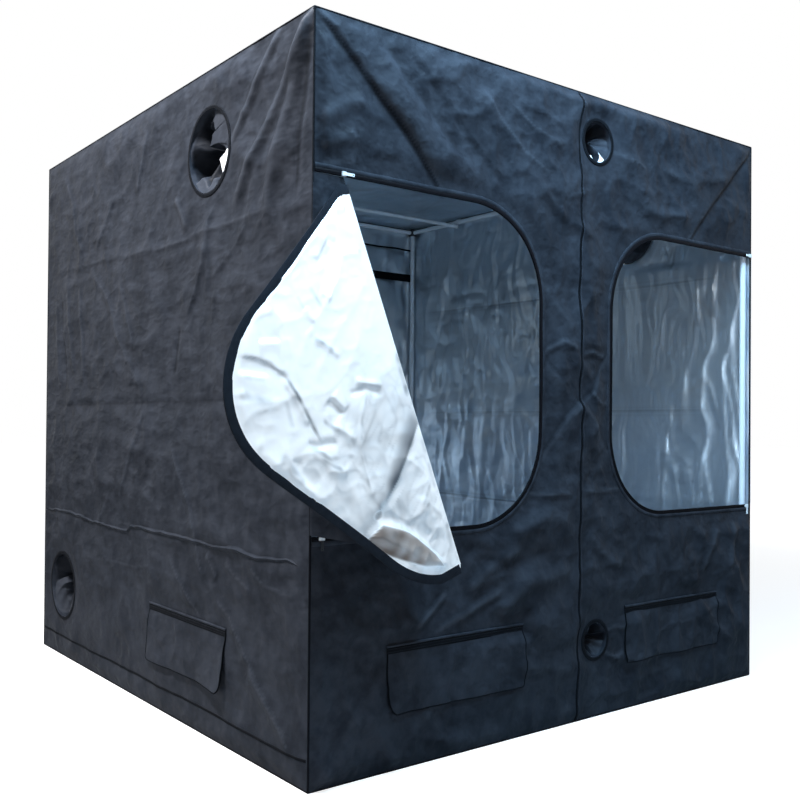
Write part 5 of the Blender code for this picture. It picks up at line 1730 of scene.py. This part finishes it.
def build_bindings():
    """Bound edges of the cover: four uprights, four at the roof and four at the floor."""
    reach = HALF - BINDING_RADIUS * BINDING_SUNK
    low = BINDING_RADIUS
    high = HEIGHT - BINDING_RADIUS * BINDING_SUNK
    section = round_section(BINDING_RADIUS, 10)
    for x in (-1, 1):
        for y in (-1, 1):
            path = resample([(x * reach, y * reach, low), (x * reach, y * reach, high)], BINDING_STEP)
            name = f"binding_{'front' if y < 0 else 'rear'}_{'left' if x < 0 else 'right'}"
            trim(name, path, (x, y, 0), section, BINDING)
    corners = [(-reach, -reach), (reach, -reach), (reach, reach), (-reach, reach)]
    for where, height in (("roof", high), ("floor", low)):
        for index, name in enumerate(("front", "right", "rear", "left")):
            path = resample([(*corners[index], height), (*corners[(index + 1) % 4], height)], BINDING_STEP)
            trim(f"binding_{where}_{name}", path, (0, 0, 1), section, BINDING)


def wander(along, size, seed):
    """Noise along a line."""
    return noise(along, 0 * along, size, seed)


def build_centre_seam():
    """The upright seam between the front's halves: a folded lap and a thin round piping on its right."""
    line = resample([(SEAM_X, SEAM_END), (SEAM_X, HEIGHT - SEAM_END)], SEAM_STEP)
    line[:, 0] += SEAM_WANDER * wander(line[:, 1], 0.23, 71)
    path = on_side(FRONT, line, SEAM_STEP, -0.4 * MM)
    trim("front_seam_lap", path, FRONT.out, flat_section(SEAM_WIDTH, SEAM_THICKNESS), BINDING)
    line[:, 0] += SEAM_WIDTH / 2 + PIPING_FROM_LAP
    path = on_side(FRONT, line, SEAM_STEP)
    trim("front_seam_piping", path, FRONT.out, round_section(SEAM_PIPING, 8), CANVAS_HEM)


LEFT_TUCK_LINE = [
    (-0.975, 0.572), (-0.82, 0.58), (-0.64, 0.58), (-0.43, 0.565), (-0.13, 0.56), (-0.10, 0.58), (0.14, 0.58),
    (0.36, 0.58), (0.51, 0.57), (0.65, 0.58), (0.76, 0.57), (0.90, 0.58), (0.975, 0.571),
]
TUCK_STEP = 9 * MM
TUCK_SECTION = [(-10 * MM, 0.0), (10 * MM, 0.0), (7 * MM, 2.5 * MM), (3 * MM, 5.2 * MM), (0.0, 6.0 * MM),
                (-2.4 * MM, 4.2 * MM), (-4 * MM, 1.5 * MM)]
BASE_SEAM_END = 8 * MM
BASE_SEAM_STEP = 12 * MM
BASE_SEAM_WIDTH = 9 * MM
BASE_SEAM_THICKNESS = 1.7 * MM


def build_left_tuck():
    """The fold pressed into the left wall: a lip whose upper side catches the light."""
    line = resample(LEFT_TUCK_LINE, TUCK_STEP)
    line[:, 1] += 3.0 * MM * wander(line[:, 0], 0.055, 73)
    path = on_side(LEFT, line, TUCK_STEP, -0.6 * MM)
    count = len(path)
    ease = smooth(np.minimum(np.arange(count), np.arange(count)[::-1]) / 6)
    swell = 0.75 + 0.35 * wander(line[:count, 0], 0.16, 74)
    scale = pairs(ease * swell, ease * (0.7 + 0.5 * swell))
    trim("left_wall_tuck", path, LEFT.out, TUCK_SECTION, CANVAS_SKIN, scale=scale)
    line = [(BASE_SEAM_END - HALF, LEFT_BASE_SEAM), (HALF - BASE_SEAM_END, LEFT_BASE_SEAM)]
    path = on_side(LEFT, line, BASE_SEAM_STEP, -0.5 * MM)
    trim("left_base_seam", path, LEFT.out, flat_section(BASE_SEAM_WIDTH, BASE_SEAM_THICKNESS), TAPE)


STRAP_STEP = 15 * MM
INNER_SEAM_HEIGHT = 1.887
INNER_SEAM_END = 15 * MM
INNER_SEAM_WIDTH = 9 * MM
INNER_SEAM_THICKNESS = 2.2 * MM


def build_strap_and_seams_inside():
    low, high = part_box("rear_strap")
    middle = (low.z + high.z) / 2
    x = resample([(-high.x, middle), (high.x, middle)], STRAP_STEP)[:, 0]
    path = np.stack([x, np.full(len(x), high.y), middle + 1.5 * MM * wander(x, 0.3, 81)], 1)
    trim("rear_wall_strap", path, FRONT.out, flat_section(high.z - low.z, high.y - low.y), PLAIN_TAPE,
         slot="webbing", nodes=["rear_strap"])
    end = HALF - INNER_SEAM_END
    x = resample([(-end, 0.0), (end, 0.0)], BASE_SEAM_STEP)[:, 0]
    depth = HALF - CLOTH - 2.4 * MM
    path = np.stack([x, np.full(len(x), depth), INNER_SEAM_HEIGHT + 3 * MM * wander(x, 0.06, 82)], 1)
    trim("rear_inner_binding", path, FRONT.out, flat_section(INNER_SEAM_WIDTH, INNER_SEAM_THICKNESS), BINDING,
         slot="webbing")


# Floor and tray

TRAY_SHEET = 2 * MM
TRAY_INSET = 2 * MM
TRAY_CELL = 16 * MM
FLOOR_CELL = 40 * MM
TRAY_LOOSE = 0.6 * MM
TRAY_RIDGE = 2.0 * MM
TRAY_WAVE = 1.2 * MM
TRAY_SWAY = 3.5 * MM
TRAY_EDGE_EASE = 40 * MM
TRAY_RISE_EASE = 50 * MM


def build_tray():
    """The loose tray: film-faced cloth with soft upright sides, lying on the tent's floor."""
    low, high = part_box("floor_tray")
    half = high.x - TRAY_INSET
    flat = half + high.z - low.z
    lines = grid_lines(-flat, flat, TRAY_CELL, [-half, half])
    u, v = np.meshgrid(lines, lines, indexing="ij")
    over_x = np.maximum(np.abs(u) - half, 0.0)
    over_y = np.maximum(np.abs(v) - half, 0.0)
    rise = np.maximum(over_x, over_y)
    x = np.clip(u, -half, half)
    y = np.clip(v, -half, half)
    bottom = low.z + TRAY_SHEET + TRAY_LOOSE
    wrinkle = TRAY_RIDGE * ridges(noise(u, v, 0.16, 611)) + TRAY_WAVE * (1 + noise(u, v, 0.06, 612))
    inner_edge = smooth(np.minimum(half - np.abs(x), half - np.abs(y)) / TRAY_EDGE_EASE)
    z = bottom + wrinkle * inner_edge + rise
    sway = TRAY_SWAY * (1 + noise(u, v, 0.19, 613)) * smooth(rise / TRAY_RISE_EASE)
    x = x - np.sign(u) * sway * (over_x > 0)
    y = y - np.sign(v) * sway * (over_y > 0)
    points = np.stack([x, y, np.minimum(z, high.z)], -1).reshape(-1, 3)
    faces = facing(points, grid_faces(*u.shape), ROOF.out)
    tray = make_object("floor_tray_film", points, faces, None, pairs(u, v), (FILM_SKIN,))
    finish_piece(tray, "tent", ["floor_tray"])
    floor_low, floor_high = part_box("floor_panel")
    reach = floor_high.x
    lines = grid_lines(-reach, reach, FLOOR_CELL)
    u, v = np.meshgrid(lines, lines, indexing="ij")
    flat_points = np.stack([u, v, np.full(u.shape, floor_high.z)], -1).reshape(-1, 3)
    under = flat_points.copy()
    under[:, 2] = floor_low.z
    faces = facing(flat_points, grid_faces(*u.shape), ROOF.out)
    floor = two_sided("floor_cloth", flat_points, under, faces, pairs(u, v), FILM_SKIN, CANVAS_SKIN)
    finish_piece(floor, "tent", ["floor_panel"])


# Camera, light and surroundings

def build_camera():
    data = bpy.data.cameras.new("camera")
    data.lens = CAMERA_LENS
    data.sensor_width = 36.0
    data.shift_x = CAMERA_SHIFT_X
    data.shift_y = CAMERA_SHIFT_Y
    data.clip_end = 200.0
    camera = bpy.data.objects.new("camera", data)
    turn = Matrix.Rotation(-CAMERA_YAW, 4, "Z") @ Matrix.Rotation(math.pi / 2 + CAMERA_PITCH, 4, "X")
    camera.matrix_world = Matrix.Translation(CAMERA_PLACE) @ turn @ Matrix.Rotation(CAMERA_ROLL, 4, "Z")
    bpy.context.scene.collection.objects.link(camera)
    bpy.context.scene.camera = camera


def add_lamp(name, place, target, size, power, color):
    """A soft rectangular lamp; size is its width and height."""
    data = bpy.data.lights.new(name, "AREA")
    data.shape = "RECTANGLE"
    data.size = size[0]
    data.size_y = size[1]
    data.energy = power
    data.color = color
    lamp = bpy.data.objects.new(name, data)
    lamp.location = place
    lamp.rotation_euler = (Vector(target) - Vector(place)).to_track_quat("-Z", "Y").to_euler()
    bpy.context.scene.collection.objects.link(lamp)


SKY_COLOR = (0.85, 0.91, 1.0)
SKY_STRENGTH = 0.080
FLOOR_REACH = 40.0
FLOOR_DROP = 0.5 * MM
FLOOR_GLOW = 0.80
FLOOR_GLOW_FROM = 2.2
FLOOR_GLOW_TO = 7.0
WHITE = (1.0, 1.0, 1.0, 1.0)


def seen_directly(tree):
    """1 for rays from the camera and for those mirrored or let through, 0 for light that fills."""
    path = tree.nodes.new("ShaderNodeLightPath")
    total = path.outputs["Is Camera Ray"]
    for name in ("Is Glossy Ray", "Is Transmission Ray"):
        larger = tree.nodes.new("ShaderNodeMath")
        larger.operation = "MAXIMUM"
        tree.links.new(total, larger.inputs[0])
        tree.links.new(path.outputs[name], larger.inputs[1])
        total = larger.outputs[0]
    return total


def build_surroundings():
    """A white floor and sky: soft daylight for the object, plain white for the camera and the gloss."""
    world = bpy.data.worlds.new("sky")
    bpy.context.scene.world = world
    world.use_nodes = True
    tree = world.node_tree
    background = tree.nodes["Background"]
    background.inputs["Color"].default_value = (*SKY_COLOR, 1.0)
    background.inputs["Strength"].default_value = SKY_STRENGTH
    white = tree.nodes.new("ShaderNodeBackground")
    white.inputs["Color"].default_value = WHITE
    white.inputs["Strength"].default_value = 1.0
    mix = tree.nodes.new("ShaderNodeMixShader")
    tree.links.new(seen_directly(tree), mix.inputs["Fac"])
    tree.links.new(background.outputs[0], mix.inputs[1])
    tree.links.new(white.outputs[0], mix.inputs[2])
    tree.links.new(mix.outputs[0], tree.nodes["World Output"].inputs["Surface"])
    mesh = bpy.data.meshes.new("floor")
    corners = [(x * FLOOR_REACH, y * FLOOR_REACH, 0) for x, y in ((-1, -1), (1, -1), (1, 1), (-1, 1))]
    mesh.from_pydata(corners, [], [(0, 1, 2, 3)])
    floor = bpy.data.objects.new("floor", mesh)
    floor.location.z = -FLOOR_DROP
    bpy.context.scene.collection.objects.link(floor)
    shader = Shader("pale_floor", (0.50, 0.50, 0.50), 0.9, Specular_IOR_Level=0.0)
    distance = shader.node("ShaderNodeVectorMath", {0: shader.place()}, operation="LENGTH").outputs["Value"]
    glow_level = shader.ramp(distance, FLOOR_GLOW_FROM, FLOOR_GLOW_TO, FLOOR_GLOW, 1.0)
    camera_ray = shader.node("ShaderNodeLightPath").outputs["Is Camera Ray"]
    glow_strength = shader.math("MULTIPLY", camera_ray, glow_level)
    glow = shader.node("ShaderNodeEmission", {"Color": WHITE, "Strength": glow_strength})
    both = shader.node("ShaderNodeAddShader", {0: shader.bsdf.outputs[0], 1: glow.outputs[0]})
    output = shader.tree.nodes["Material Output"]
    shader.tree.links.new(both.outputs[0], output.inputs["Surface"])
    mesh.materials.append(shader.material)


# Lamps: name, place, what it looks at, width and height, watts and colour
LAMPS = (
    ("left_light", (-2.4, -0.15, 3.7), (-1.0, -0.4, 1.2), (0.9, 0.4), 258.0, (0.99, 0.965, 0.98)),
    ("left_fill", (-7.0, 0.9, 2.5), (-1.0, 0.0, 1.2), (3.0, 2.0), 42.0, (1.0, 0.98, 1.0)),
    ("front_light", (-0.6, -1.72, 2.98), (0.1, -1.0, 1.8), (2.2, 0.3), 174.0, (0.46, 0.74, 1.0)),
    ("front_fill", (-4.5, -6.5, 3.2), (-1.0, -1.0, 1.1), (2.0, 2.0), 46.0, (0.90, 0.95, 1.0)),
    ("door_light", (0.05, -0.86, 0.80), (0.75, 0.4, 0.55), (0.20, 0.8), 2.6, (0.62, 0.84, 1.0)),
    ("corner_light", (0.12, -0.88, 1.15), (0.99, -0.70, 1.10), (0.10, 0.8), 0.7, (0.86, 0.93, 1.0)),
    ("rear_streaks", (-0.45, 0.88, 1.60), (1.0, 0.2, 1.6), (0.12, 0.6), 0.30, (0.80, 0.92, 1.0)),
    ("left_streaks", (-0.88, -0.10, 1.20), (1.0, -0.7, 1.1), (0.10, 0.8), 0.17, (0.90, 0.95, 1.0)),
)

bpy.context.scene.view_settings.view_transform = "Standard"
build_camera()
build_surroundings()
for lamp in LAMPS:
    add_lamp(*lamp)
build_walls()
build_doorway("left_doorway", "left_zip_track", -1, LEFT_DOOR_SEAM)
build_doorway("right_doorway", "right_zip_track", 1, RIGHT_DOOR_SEAM)
LEAF = Leaf()
build_flap(LEAF)
build_fold_bead(LEAF)
build_apron(LEAF)
build_right_leaf()
for port, where in PORTS.items():
    build_port(port, where)
for cover, (where, body) in COVERS.items():
    build_cover(cover, where, body)
build_bindings()
build_centre_seam()
build_left_tuck()
build_strap_and_seams_inside()
build_tray()


# Finishes of the solids that stay, by the start of their names, with painted shadow on the lower left slider's
# pull; all others are painted steel
FINISHES = (("corner", PLASTIC), ("tee", PLASTIC), ("slider_left_lower", SLIDER_PULL_PAINTED_SHADOW), ("slider", ENAMEL))


def repaint():
    for name, item in frame["nodes"].items():
        if not item.hide_render:
            material = next((finish for start, finish in FINISHES if name.startswith(start)), POLE)
            item.data.materials.clear()
            item.data.materials.append(material)


repaint()
